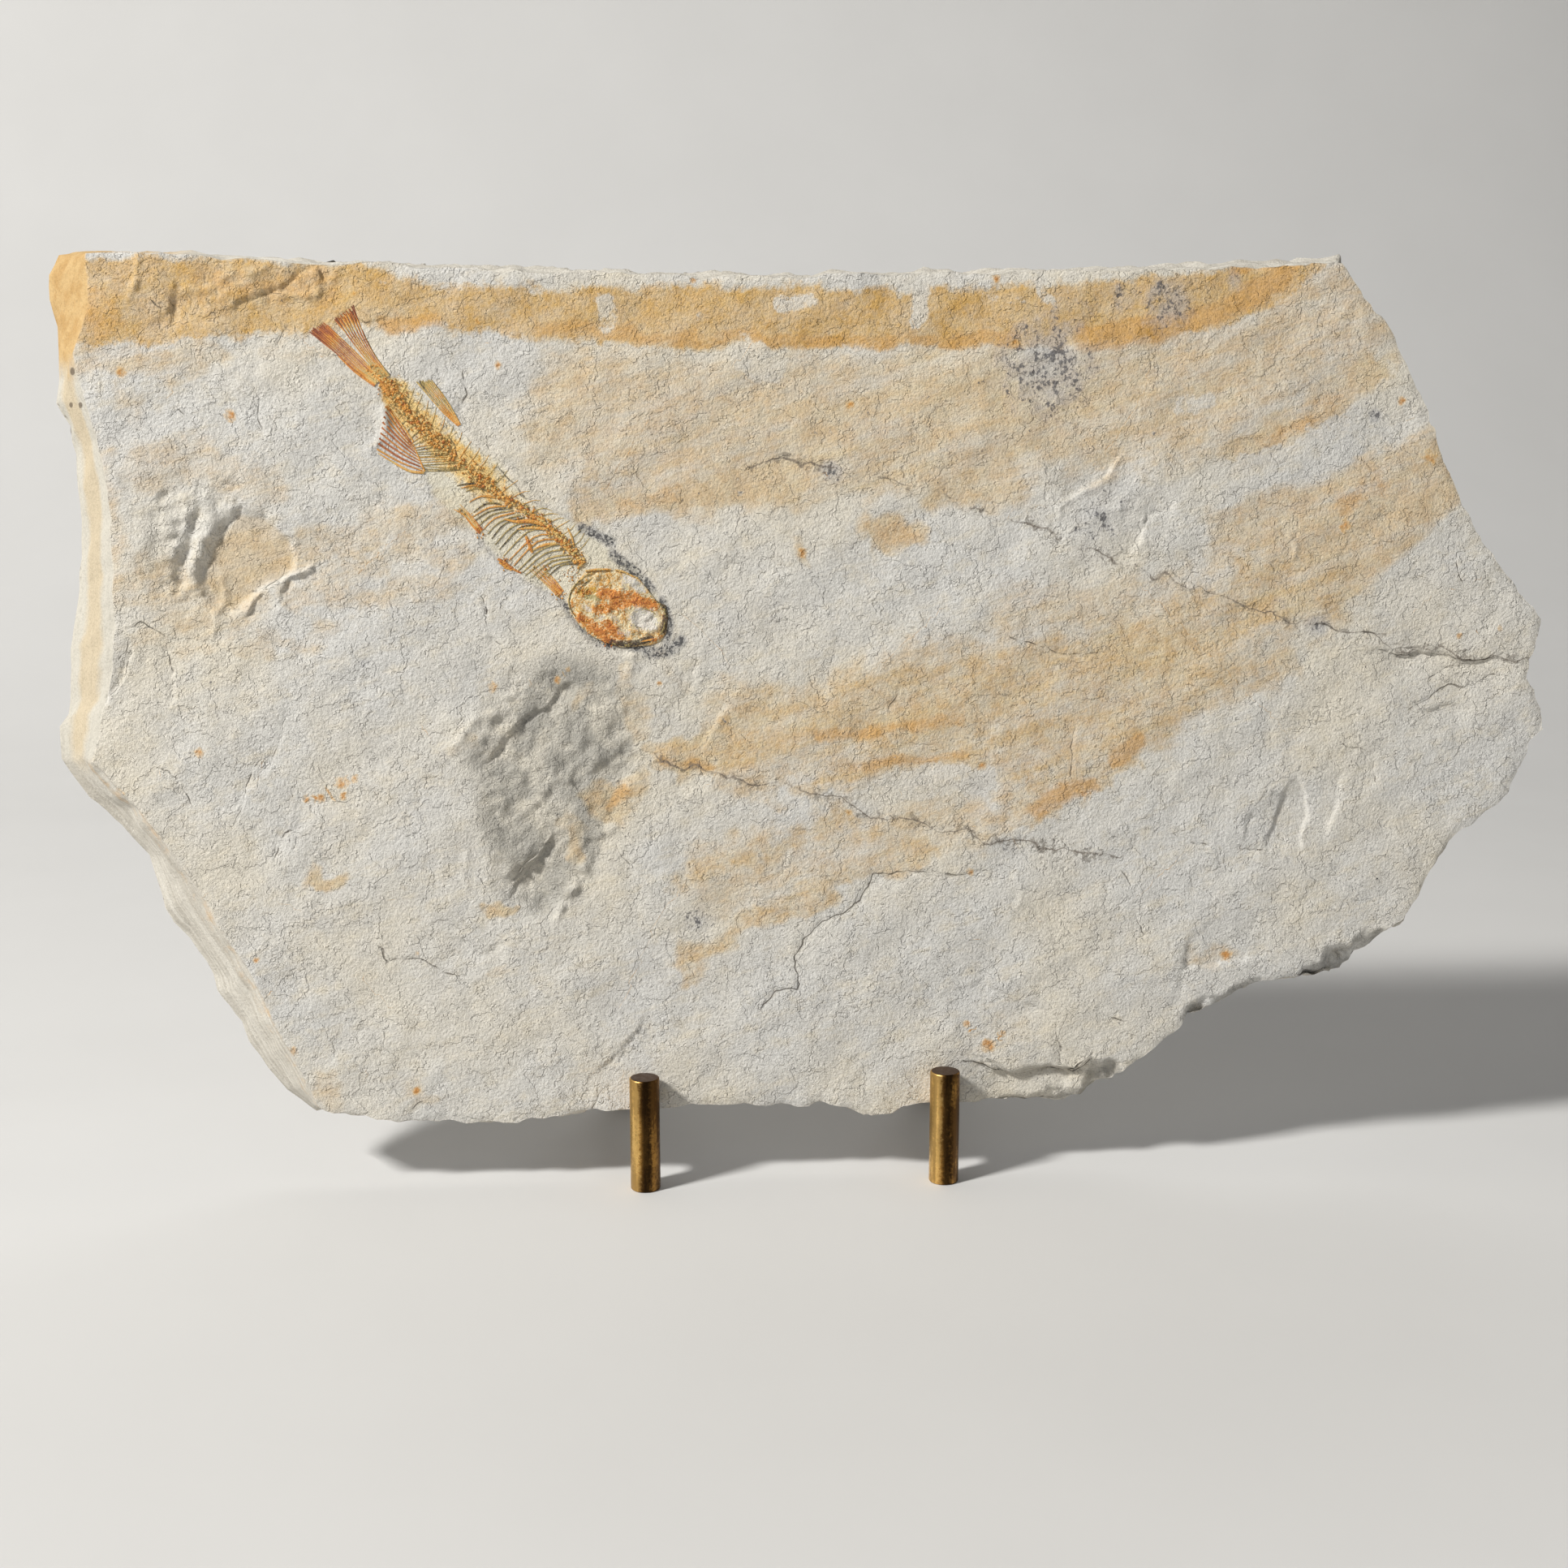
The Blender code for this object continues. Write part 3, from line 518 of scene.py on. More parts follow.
RIDGES = drawn("""-173,209.5 -170,213 -167,218 -166.5,224 0.7 1.2; -158,209.5 -157.5,213 -154,214.8
    -148,216.5 -142,218.5 -136,219.5 0.8 1; -140,210.3 -135,212 -130,213.4 -127,213.4 -122,214.5 -117,218
    -115.5,222.5 0.8 0.9; -150,209 -144,211 -139,214 0.5 1; -119.5,222 -119.6,218 0.5 0.7; -54,66 -58,60
    -65,50 1.1 1.5; -44,97 -52,93 -61,86 0.9 1.3; -42,122 -43,113 -44,104 0.7 1.8; -44,96 -36,89 -25,82 0.5
    0.8; -81,106 -87,100 -91,95 0.6 1.2; -72,113 -78,105 -83,97 0.8 1.4; -55,94 -62,88 -70,79 0.9 1.5;
    -51,70 -58,62 -64,51 0.8 1.2; -149,144 -147,135 -151,131 -150,126 0.7 1; -124,145 -130,142 -136,139 0.6
    0.9; 90,173 82,166 73,160 71,154 0.5 1; -47,76 -55,71 -60,64 0.8 1.4; -132,222 -141,216 -151,212 0.5 1;
    -60,110 -55,103 -57,95 0.7 1.3; 80,156 84,159 90,159 95,155 96,149 92,144 0.45 0.7; 87,154 90,152 91,147
    0.35 0.6; 134,154 136,149 136,145 0.5 0.7; -87,69 -88,64 -86,58 -82,54 0.5 0.9; -110,50 -109,46 -107,41
    0.4 0.7; -90,49 -85,43 -82,37 -86,34 -89,36 0.35 0.7; 60,60 62,56 61,52 0.35 0.7; 126,78 122,75 123,67
    0.35 0.6""")
FACETS = lines("""140,34.5 146,35.5 147,38.5 153,40 155,43 162,44.5 172,40 160,20 140,22; 108,23.5 113,25.5
    120,28.5 127,31 130,26 118,14 106,16; 80.5,6 82,9.5 86,9.8 89,8.5 92,2 84,-6 80,1.5; 56,-0.8 64,-0.4
    71,0.6 80,1.4 84,2.5 88,-2 72,-12 56,-10""")
close_lines = CRACKS + [row[0] for row in LEDGES + RIDGES] + FACETS + [BACKBONE, HOLLOW + HOLLOW[:1]]
print("drawn lines:", len(close_lines))

# %% Cut the long edges
COARSE_CUT, CLOSE_CUT, WALL_CUT, BACK_CUT = ((1.98, 1.1, 2.0, 4.6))


def cut_to_size(mesh, rounds, wanted):
    """Halve the edges that are longer than wanted says, from their middles and their two faces' kinds."""
    for _ in range(rounds):
        mesh.verts.index_update()
        places = np.array([vert.co for vert in mesh.verts])
        edges = list(mesh.edges)
        ends = np.array([(edge.verts[0].index, edge.verts[1].index) for edge in edges])
        kinds = np.array([sorted(face.material_index for face in edge.link_faces) for edge in edges])
        lengths = np.linalg.norm(places[ends[:, 0]] - places[ends[:, 1]], axis=1)
        limit = wanted(places[ends].mean(axis=1), kinds[:, 0], kinds[:, -1])
        long_edges = [edges[k] for k in np.nonzero(lengths > limit)[0]]
        if not long_edges:
            break
        bmesh.ops.subdivide_edges(mesh, edges=long_edges, cuts=1, use_grid_fill=True)
        loose = [face for face in mesh.faces if len(face.verts) > 3]
        bmesh.ops.triangulate(mesh, faces=loose, quad_method="SHORT_EDGE", ngon_method="BEAUTY")


def slab_cut(middles, lower, higher):
    """How long an edge may be. An edge between two kinds of face knows both of them."""
    places = middles[:, [0, 2]]
    nearest = nearest_line(places, close_lines)[1]
    special = np.maximum.reduce([to_outline(places, ring) for ring in (BODY, ROUGH_PATCH, HOLLOW, WRECK)])
    close = np.maximum(soft_step(nearest, 2.4, 1.2), soft_step(special, -2.5, -1.0))
    front = COARSE_CUT + (CLOSE_CUT - COARSE_CUT) * close
    limit = np.where(higher == FRONT, front, np.where(lower == BACK, BACK_CUT, WALL_CUT))
    return np.where((higher == WALL) & (lower == FRONT), COARSE_CUT, limit)


CUT_ROUNDS = 5
cut_to_size(slab, CUT_ROUNDS, slab_cut)
print("slab faces after the cuts:", len(slab.faces))

# %% [markdown]
# ## The slab's relief
# A bedding plane of this stone splits in thin leaves, so its face is a patchwork of flat terraces with
# small curved risers. On top of that come the features of this very piece: a scooped hollow, a torn patch,
# hairline cracks, ledges and the dip round the fish. Each one is a small term, and their sum moves a
# point into the stone or out of it. A smooth field cut into steps makes the terraces.

# %% Split the face in leaves
LEAF = 0.26
RISER = 0.14
SWELL, SWELL_SIZE = 0.32, 13
LUMP, LUMP_SIZE = 0.16, 5.5
GRAIN, GRAIN_SIZE = 0.05, 2.6


def waves(places, scale):
    x, z = places.T
    return (np.sin(x / scale + 1.3) * np.cos(z / scale * 1.3 + 0.4)
            + 0.6 * np.sin((x + z) / scale * 1.9 + 2.1) + 0.4 * np.cos((x - 1.4 * z) / scale * 2.7))


def leaves(places):
    """The smooth field whose whole numbers are the risers between the stone's leaves."""
    return (1.5 * wobble(places, 34, 3, 2) + 0.8 * wobble(places, 13, 5, 2) + 0.3 * wobble(places, 5, 9, 2)
            + 0.012 * places[:, 0])


def split_face(places):
    calm = soft_step(to_outline(places, BODY), -1, -10)
    down = SWELL * waves(places, SWELL_SIZE) * calm
    level = leaves(places)
    torn = soft_step(wobble(places, 11, 21, 2), -0.05, 0.4)
    down += LEAF * torn * (np.floor(level) + soft_step(level % 1, 1 - RISER, 1) - level) * calm
    down += LUMP * wobble(places, LUMP_SIZE, 31, 2) + GRAIN * wobble(places, GRAIN_SIZE, 33, 1)
    return down


print("leaves of", LEAF, "mm")

# %% Cut the ledges, ridges and chips
RAG = 1.1


def fray(places, amount):
    """The same points, each pushed a little, so that a drawn line comes out ragged."""
    return places + amount * np.stack([wobble(places, 6, 41), wobble(places, 6, 43)], axis=1)


def cut_lines(down, places, ragged):
    """Add the ledges (line, drop, run), the ridges (line, rise, half width) and the chipped faces."""
    for line, drop, run in LEDGES:
        near = close_to(places, line, 2.5 * run)
        distance, side, fade = to_line(ragged[near], line)
        signed = distance * side * np.sign(drop)
        down[near] += (abs(drop) * fade * soft_step(signed, -0.4, 0.5)
                       * np.exp(-np.maximum(signed, 0) / run) * soft_step(signed, 2.5 * run, run))
    jag = 0.7 + 0.6 * wobble(places, 3, 51, 2)
    for line, rise, half_width in RIDGES:
        near = close_to(places, line, 3 * half_width)
        distance, _, fade = to_line(ragged[near], line)
        down[near] -= rise * np.minimum(1, 2 * fade) * jag[near] * np.exp(-(distance / half_width) ** 2)
    for facet in FACETS:
        inside = np.clip(to_outline(ragged, facet) + 0.5, 0, 4)
        down += inside * (0.9 + 0.6 * wobble(places, 4, 61, 2))


print("ledges:", len(LEDGES), "ridges:", len(RIDGES), "chipped faces:", len(FACETS))

# %% Scoop the hollow and tear the rough patch
HOLLOW_DEPTH, SCOOP_LIP, LIP_SIZE = 2.8, 0.35, 2.0
HOLLOW_RIGHT, HOLLOW_RUN = -131, 20
GROOVE, GROOVE_DEPTH, GROOVE_HALF = outline("-154,158 -158,149 -160,140"), 1.5, 1.7
PIT = outline("-70,62 -65,55")
CRACK_DEPTH, CRACK_HALF, CRACK_DIP = 0.16, 0.5, 2.0


def scoop(down, places, ragged):
    hollow = to_outline(ragged, HOLLOW)
    from_right = np.clip((HOLLOW_RIGHT - places[:, 0]) / HOLLOW_RUN, 0, 1)
    floor = HOLLOW_DEPTH * (0.45 + 0.55 * from_right)
    scarp = soft_step(hollow, -1.2 - 2.2 * from_right, 0.6)
    down += scarp * (floor - SCOOP_LIP * np.exp(-np.maximum(hollow, 0) / LIP_SIZE))
    wreck = soft_step(to_outline(places, WRECK), -1, 5)
    torn_wall = 0.25 + 0.6 * abs(wobble(places, 5, 75, 2)) + 0.6 * abs(wobble(places, 2.6, 77, 2))
    down += wreck * (1 - soft_step(hollow, -0.5, 1)) * torn_wall
    down += GROOVE_DEPTH * np.exp(-(to_line(ragged, GROOVE)[0] / GROOVE_HALF) ** 2)
    rough = soft_step(to_outline(places, ROUGH_PATCH), -2, 5)
    down += rough * (0.25 + 0.75 * abs(wobble(places, 8, 81, 2)) + 0.5 * abs(wobble(places, 3.4, 83, 2)))
    down += soft_step(to_line(places, PIT)[0], 6, 2)


def face_relief(places):
    """Depth into the stone, in millimetres."""
    down = split_face(places)
    ragged = fray(places, RAG)
    cut_lines(down, places, ragged)
    scoop(down, places, ragged)
    side, near = nearest_line(ragged, CRACKS)
    down += (CRACK_DEPTH * np.exp(-(near / CRACK_HALF) ** 2)
             + CRACK_DEPTH * soft_step(side, -0.3, 0.3) * np.exp(-near / CRACK_DIP))
    return down


def fish_bed(places):
    """The dip under the fish, and the stone that still hugs its fins."""
    body = to_outline(places, BODY)
    tail = np.maximum(to_outline(places, TAIL_UPPER), to_outline(places, TAIL_LOWER))
    dip = 0.28 * soft_step(body, -0.8, 1.2) + 0.25 * soft_step(tail, -0.4, 0.4)
    rim, side, fade = to_line(places, ANAL_RIM)
    dip -= 0.75 * np.exp(-(rim / 0.7) ** 2) * np.minimum(1, 3 * fade)
    brow = np.exp(-((body + 1.6) / 1.4) ** 2)
    return dip - 0.22 * brow * (1 + wobble(places, 6, 91, 2))


print("relief ready, hollow of", HOLLOW_DEPTH, "mm")

# %% Find the rims of the slab
def mesh_points(mesh):
    return np.array([vert.co for vert in mesh.verts])


slab.verts.index_update()
slab.normal_update()
points = mesh_points(slab)
face_kind = np.array([face.material_index for face in slab.faces])
corners = np.array([[vert.index for vert in face.verts] for face in slab.faces])
wall_corners = corners[face_kind == WALL]
wall_normals = np.array([face.normal for face in slab.faces])[face_kind == WALL]
touches = np.zeros((3, len(points)), bool)
for kind in (FRONT, BACK, WALL):
    touches[kind, corners[face_kind == kind].ravel()] = True
outward = np.zeros((len(points), 3))
for column in range(3):
    np.add.at(outward, wall_corners[:, column], wall_normals)
outward[:, 1] = 0
outward /= np.maximum(np.linalg.norm(outward, axis=1), 1e-6)[:, None]

front_rim = touches[FRONT] & touches[WALL]
rim_index = np.nonzero(front_rim)[0]
tree = kdtree.KDTree(len(rim_index))
for number, index in enumerate(rim_index):
    tree.insert(points[index], number)
tree.balance()
found = [tree.find(point)[1:] for point in points]
nearest_rim = rim_index[[item[0] for item in found]]
rim_distance = np.array([item[1] for item in found])
print("points on the front rim:", len(rim_index))

# %% Move the slab's points
POST_ACROSS, SEAT_TOP = 40.3, 3
LEG_ACROSS, LEG_UP = 43.3, 75
RIM_FOLLOWS = 3.5
ROUNDING = 0.9
plane = points[:, [0, 2]]
slanted = soft_step(plane[:, 0], -118, -128)
on_seat = soft_step(abs(abs(plane[:, 0]) - POST_ACROSS), 12, 8) * (plane[:, 1] < SEAT_TOP)
crumble = 0.75 * wobble(points, 7, 101, 2) + 0.5 * wobble(points, 2.6, 103, 2) - 0.35
bedding = 0.34 * wobble(np.stack([points[:, 1], plane @ (0.05, 0.04)], 1), 2.3, 105, 2)
push = (crumble * (1 - 0.75 * slanted) + bedding * (1 - 0.6 * slanted)) * (1 - 0.9 * on_seat)
shift = outward * np.where(touches[WALL], push, 0)[:, None]
inner = touches[FRONT] & ~front_rim
follow = np.clip(1 - rim_distance / RIM_FOLLOWS, 0, 1)
shift[inner] = shift[nearest_rim[inner]] * follow[inner][:, None]
points += shift
plane = points[:, [0, 2]]
front = touches[FRONT]
depth = face_relief(plane[front]) + fish_bed(plane[front])
edge_round = (0.35 + 0.35 * wobble(plane[front], 5, 111, 2)) * np.exp(-rim_distance[front] / ROUNDING)
depth += edge_round * (1 - 0.8 * slanted[front])
points[front, 1] = depth
back = touches[BACK] & ~touches[WALL]
from_leg = np.min([np.hypot(plane[back, 0] - side * LEG_ACROSS, plane[back, 1] - LEG_UP) for side in (1, -1)],
                  axis=0)
points[back, 1] += 0.5 * wobble(plane[back], 15, 121, 3) * soft_step(from_leg, 8, 16)
for vert, place in zip(slab.verts, points):
    vert.co = place
for edge in slab.edges:
    edge.smooth = len({face.material_index for face in edge.link_faces}) == 1
for face in slab.faces:
    face.material_index = 0
slab.normal_update()
print("face depth from", round(float(depth.min()), 2), "to", round(float(depth.max()), 2), "mm")

# %% [markdown]
# ## Stains as drawn strokes
# The tan bands and streaks aren't an even noise: they have places and directions. Each one is drawn as a
# line with a half width and a strength, in slab millimetres. The strokes become soft fields, one number on
# every point of the mesh, and the finish later breaks their edges up with noise. Crack lines are stored as
# signed distances, because a signed distance crosses zero exactly on the line, however coarse the mesh is.

# %% Draw the stains
BAND = outline("""-190,228 -182,223 -140,223 -109,222 -101,218 -87,216 -70,216 -45,216 -24,217 6,217 27,216
    49,217 71,218 92,219 110,221 123,223 145,226 142,221 136,215 127,210 116,206 103,204 88,202 71,201
    49,201 27,201 6,200 -15,200 -37,201 -54,202 -66,203 -79,204 -91,206 -106,206 -116,205 -135,204 -153,202
    -170,201 -195,200""")
HAZE = drawn("""-52,183 -16,178 27,182 71,186 105,190 21 0.62; -52,160 -41,163 -20,163 0,166 6 0.8; -3,169
    27,167 60,165 6 0.62; 22,153 34,152 4.6 0.8; 3,149 4,145 2 0.5; -26,157 -22,156 2.4 0.4; 110,188 130,200
    150,212 16 0.62; 122,174 140,183 158,197 7 0.75; 120,152 140,158 160,166 176,173 9 0.7; 150,150 165,160
    8 0.65; 60,132 100,134 120,138 140,146 9 0.42; 125,222 150,222 6 0.3; -182,197 -166,197 -150,199 5 0.5;
    -135,201 -120,199 3.1 0.3; -172,190 -170,181 2.6 0.3; -182,176 -176,160 -176,140 5 0.45; -168,168
    -152,172 -138,165 8 0.42; -168,140 -157,133 -143,133 8 0.45; -147,146 -136,148 8 0.4; -128,148 -111,153
    -96,155 -78,158 5.5 0.5; -125,140 -101,146 -88,146 3.5 0.4; -130,136 -109,136 -90,140 4 0.4; -170,125
    -143,123 -118,127 3 0.35; -52,84 -47,79 -41,86 4 0.6; -58,76 -56,68 3.5 0.5; -44,118 -41,109 -41,98 3
    0.4; -126,62 -119,62 2.7 1; -79,55 -76,54 2 0.9; -82,36 -78,36 2.4 0.4; -126,6 -123,3 4 0.4; -102,5
    -98,3 4 0.35; -55,8 -45,6 6 0.2; 50,14 58,20 6 0.25; 112,38 120,37 3 0.4; -84,98 -91,94 2 0.3; -58,107
    -55,112 2.4 0.4; -70,180 -40,190 9 0.15; -35,121 -28,112 3 0.3""")
CURL = outline("""124,150 134,157 148,163 162,170 174,181 180,178 184,161 171,147.5 159,138 150,131 142,128
    128,136""")
STREAKS = drawn("""-12,98 20,103 50,110 80,117 110,127 140,138 15 0.8; 40,90 75,98 100,108 125,120 13 0.75;
    -20,60 0,66 24,73 44,78 12 0.55; -2,104 20,106 40,112 60,118 80,124 100,131 120,136 140,142 4.5 0.6;
    60,107 80,112 100,118 120,126 140,133 4.5 0.6; -30,92 -14,95 10,98 30,103 48,108 3.6 0.85; 8,89 30,92
    50,94 64,98 84,104 3 0.85; 58,82 75,87 90,95 105,105 118,112 4.6 0.75; 70,79 82,84 92,92 97,97 3.6 0.7;
    42,74 56,76 70,79 3 0.6; -38,92 -23,91 -6,87 3.1 0.6; -10,82 10,84 24,87 3 0.5; -24,63 -5,69 10,73 30,77
    3.4 0.75; -30,38 -14,47 2,54 22,63 34,68 4.4 0.7; 70,124 84,129 100,134 2.6 0.5; -32,60 -12,67 2.4 0.5""")
BLEACHED = drawn("""-48,212 -48,206 2.8 0.9; -2,212 6,213 2.6 0.8; 35,215 34,208 2.6 1; -12,199 -5,196 5 1;
    68,214 66,217 2 0.8; 52,214 64,213 1.8 0.5; 112,166 135,172 150,180 166,192 4.5 1; 159,199 162,195 2.2
    0.8; 20,81 36,86 52,86 4.8 1; -28,84 -8,77 3.5 0.7; 104,186 112,187 3 0.7; 140,168 148,171 4 0.7""")
DEEP = drawn("""78,203 100,206 116,211 127,217 134,222 3.6 1; 118,222 140,225 1.8 0.9; -104,207 -92,207 2.6
    0.8; -66,206 -40,204 0,202 60,203 2.2 0.7; -190,215 -176,208 6 0.6; -150,216 -120,216 5 0.5; 8,98 46,103
    1.8 0.7; 66,79 80,84 3 0.8; 88,92 94,96 2.6 0.9; 16,91 46,93 1.6 0.7; -34,92 -22,91 1.6 0.6; 148,158
    160,166 3 0.5; 130,176 146,187 3 0.5; 22,153 32,152 3 0.4; -44,161 -30,163 2.5 0.4; -48,81 -44,84
    2 0.6""")
RUST = [  # across, up, radius
    (-145, 183, 1.6), (-79, 112.3, 1.4), (-119, 87.5, 1.7), (-115.5, 88.5, 1.2), (-124, 83.5, 1.3),
    (-128, 83.5, 1.1), (-118.5, 84, 1), (-155, 96, 1.3), (53, 14, 1.8), (118.5, 37.5, 1.7), (57, 17, 0.9),
    (173, 172, 2.2), (193, 126, 0.9), (-172, 194, 1.3), (51, 90, 1.4), (79, 82, 1.8), (3, 147, 1.3),
    (-113, 214, 1), (-81, 207, 1), (165, 187, 1.1), (15, 78, 0.9), (-35, 113, 0.7), (-62, 114, 1),
    (-59, 117, 0.8), (-133, 16, 1.4), (-179, 88, 1.2), (-176, 85, 1.3), (-101, 5, 1), (48, 61.5, 1.1),
    (47, 20, 1), (150, 154, 1.8), (-76, 196, 1), (-142, 41, 0.8), (-100, 42, 0.8), (16, 186, 1.2),
    (55, 219, 1.1), (-25, 218, 0.9), (182, 124, 0.8), (60, 202, 1),
]
MANGANESE = [  # across, up, radius, strength
    (68, 196, 12.1, 1), (101, 212, 6.6, 0.9), (82, 156, 11, 0.6), (11, 169, 3.1, 1), (158, 183, 2, 1.2),
    (-25, 49, 4.8, 0.8), (142, 127, 3.1, 0.9), (133, 133, 2.6, 0.7), (88, 164, 5.5, 0.5),
    (119, 218, 3.1, 0.7), (90, 215, 4.4, 0.6), (79, 211, 3.5, 0.5), (58, 68, 3.1, 0.6), (-112, 119, 2.2, 0.5),
]
DENDRITES = drawn("""-55,154 -51,152 -47,150 1.5 1; -47,147 -42,143 -37,138 1.5 1; -51,124 -44,123 -38,122
    1.3 1; -38,121 -33,121 -29,124 1.9 1; -34,135 -32,129 -33,124 1.2 1; -61,136 -56,128 -51,124 0.9 0.9;
    -35,143 -30,145 0.9 0.6""")
VEINS = lines("-9,171 12,169 38,164 71,151 99,141 137,128 173,120 201,117; -44,94 -16,88 16,80 49,71 89,66")
HEAD_MIDDLE = (-46, 132)
print("strokes drawn:", len(HAZE) + len(STREAKS) + len(BLEACHED))

# %% Write the stains onto the mesh
def write_marks(mesh, marks):
    """Store one number a point under each name, for the finish to read."""
    for name in marks:
        mesh.verts.layers.float.new(name)
    for name, values in marks.items():
        layer = mesh.verts.layers.float[name]
        for vert, value in zip(mesh.verts, values):
            vert[layer] = value


ragged_plane = fray(plane, RAG)
crack_side, crack_near = nearest_line(ragged_plane, CRACKS)
vein_side, vein_near = nearest_line(fray(plane, 2.0), VEINS)
rust_spots = np.array(RUST)
to_rust = (plane[:, None, :] - rust_spots[None, :, :2]) / rust_spots[None, :, 2:]
nearest_spot = np.argmin((to_rust ** 2).sum(axis=2), axis=1)
rust_across, rust_up = np.clip(to_rust[np.arange(len(plane)), nearest_spot], -9, 9).T
curl = 0.75 * soft_step(to_outline(ragged_plane, CURL), -1.2, 4)
marks = {
    "band": np.clip(to_outline(ragged_plane, BAND), -20, 20),
    "haze": np.maximum(strokes(fray(plane, 2.5), HAZE), curl),
    "streaks": strokes(fray(plane, 4), STREAKS),
    "deep": strokes(ragged_plane, DEEP),
    "bleached": strokes(plane, BLEACHED),
    "rust_across": rust_across, "rust_up": rust_up,
    "manganese": spots(plane, MANGANESE),
    "dendrites": strokes(plane, DENDRITES),
    "body": np.clip(to_outline(plane, BODY), -20, 20),
    "spine": to_line(plane, BACKBONE)[0],
    "tailward": np.hypot(plane[:, 0] - HEAD_MIDDLE[0], plane[:, 1] - HEAD_MIDDLE[1]),
    # The first two cracks: the dark line under the ledge at the foot, a painted shadow, and the long crack.
    "crack_and_ledge_shadow": soft_step(nearest_line(plane, CRACKS[:2])[1], 4, 2),
    # Painted shade on the chipped facets at the lower right, which face away from the key lamp.
    "chips": np.max([soft_step(to_outline(plane, facet), -0.3, 0.7) for facet in FACETS], axis=0),
    "crack_side": crack_side, "crack_near": crack_near, "vein_side": vein_side, "vein_near": vein_near,
    "bedding": points[:, 1], "across": plane[:, 0], "up": plane[:, 1],
    "edge": touches[WALL] * 1.0 - front_rim * 0.5,
    "rough": soft_step(to_outline(plane, ROUGH_PATCH), -3, 5),
    "hollow": to_outline(plane, HOLLOW),
}
# These marks belong to the face, so elsewhere they get a value that means none of it.
ONLY_ON_THE_FACE = {"body": -20, "hollow": -20, "rust_across": 9, "crack_near": 9, "vein_near": 9,
                    **dict.fromkeys(("dendrites", "manganese", "rough", "streaks", "deep", "chips"), 0)}
for name, elsewhere in ONLY_ON_THE_FACE.items():
    marks[name] = np.where(front, marks[name], elsewhere)
write_marks(slab, marks)
print("marks:", len(marks))

# %% The maker of pieces
def make_piece(name, mesh, finish, slot, *nodes):
    """Turn a bmesh in slab millimetres into a named piece that stands for some packed solids."""
    bmesh.ops.transform(mesh, matrix=slab_to_room, verts=mesh.verts)
    data = bpy.data.meshes.new(name)
    mesh.to_mesh(data)
    mesh.free()
    data.materials.append(finish.material)
    piece = bpy.data.objects.new(name, data)
    bpy.context.collection.objects.link(piece)
    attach(piece, "root")
    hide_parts(*nodes)
    print(name, "has", sum(len(polygon.vertices) - 2 for polygon in data.polygons), "triangles")


# %% [markdown]
# ## The stone's finish
# The ground is a cool pale grey with a warm cloud in it. Iron comes over it in three strengths: haze,
# streaks and the band along the top. Then come grey manganese clouds with black specks, rust spots, the
# yellow stain of the fish, and last the thin dark cracks; the dark line along the ledge at the foot is a
# painted shadow, and the chipped facets at the lower right are darkened as painted shade. Each mask is a
# drawn mark made ragged with noise, and the colours are laid on as coats. The sandy grain and the small
# flakes are a height that bends light.

# %% Noises and marks
stone = Finish("limestone", 0.88)
stone.set("Specular IOR Level", 0.25)
FLOW_RISE = math.radians(-18)
cloud = stone.noise(38, 3)
patch = stone.noise(11, 4, 0.6)
blotch = stone.noise(4.2, 4, 0.62)
grit = stone.noise(1.3, 3, 0.6)
dust = stone.noise(0.55, 2, 0.6)
flow = stone.noise(3.4, 4, 0.62, stretch=stone.drawn_out((7, 1, 1), (0, FLOW_RISE, 0)))
patchy, blotchy, gritty, dusty, flowing = (field - 0.5 for field in (patch, blotch, grit, dust, flow))
read = {name: stone.attribute(name) for name in marks}
print("marks read:", len(read))

# %% Mix the ground and the iron
ground = stone.coats(stone.mix(cloud.ramp(0.35, 0.7), paint(207, 205, 200), paint(213, 206, 191)), (
    (patch.ramp(0.45, 0.75) * 0.55, (194, 191, 185)),
    ((blotch * 0.5 + flow * 0.5).ramp(0.46, 0.7) * 0.55, (214, 203, 180)),
    (read["rough"] * patch.ramp(0.32, 0.58) * 0.75, (158, 155, 147)),
    (read["hollow"].ramp(-0.6, 1.2) * 0.62, (190, 172, 144)),
))
haze = (read["haze"] * (0.45 + 1.3 * flow) + flowing * 0.4 + blotchy * 0.5).ramp(0.02, 0.95)
haze = haze * read["haze"].ramp(0.0, 0.4)
streaks = (read["streaks"] * (0.25 + 1.35 * flow) + blotchy * 0.6 + patchy * 0.3).ramp(0.05, 1.05)
streaks = streaks * read["streaks"].ramp(0.0, 0.5)
band = (read["band"] + blotchy * 5 + gritty * 2.4).ramp(-1.4, 1.4) * (0.84 + 0.9 * patchy + 0.5 * flowing)
bleached = (read["bleached"] + blotchy * 2.2 + gritty * 0.8).ramp(0.35, 0.8)
iron = (haze * 0.62).at_least(streaks * 0.8).at_least(band) * (1 - 0.85 * bleached)
iron = iron * (0.86 + 0.7 * (grit - 0.4))
deep = (read["deep"] * (0.4 + 1.2 * flow) + blotchy * 0.9).ramp(0.15, 0.9) * (1 - bleached)
tan = stone.mix(blotch.ramp(0.3, 0.7), paint(207, 182, 132), paint(196, 158, 98))
tan = stone.mix(band * 0.65, tan, paint(199, 158, 90))
print("nodes with the iron:", len(stone.tree.nodes))

# %% Mask the specks, the fish's stain and the cracks
metal_cloud = (read["manganese"] * 1.3 + blotchy * 1.9).ramp(0.25, 0.95)
black_specks = (read["manganese"] * 1.0 + gritty * 3.4 + blotchy * 1.8).ramp(0.66, 1.1)
rust_round = read["rust_across"] * read["rust_across"] + read["rust_up"] * read["rust_up"]
rust_reach = 1.1 - rust_round + blotchy * 3.4 + gritty * 3.4
rust_close = rust_round.ramp(4.0, 1.5)

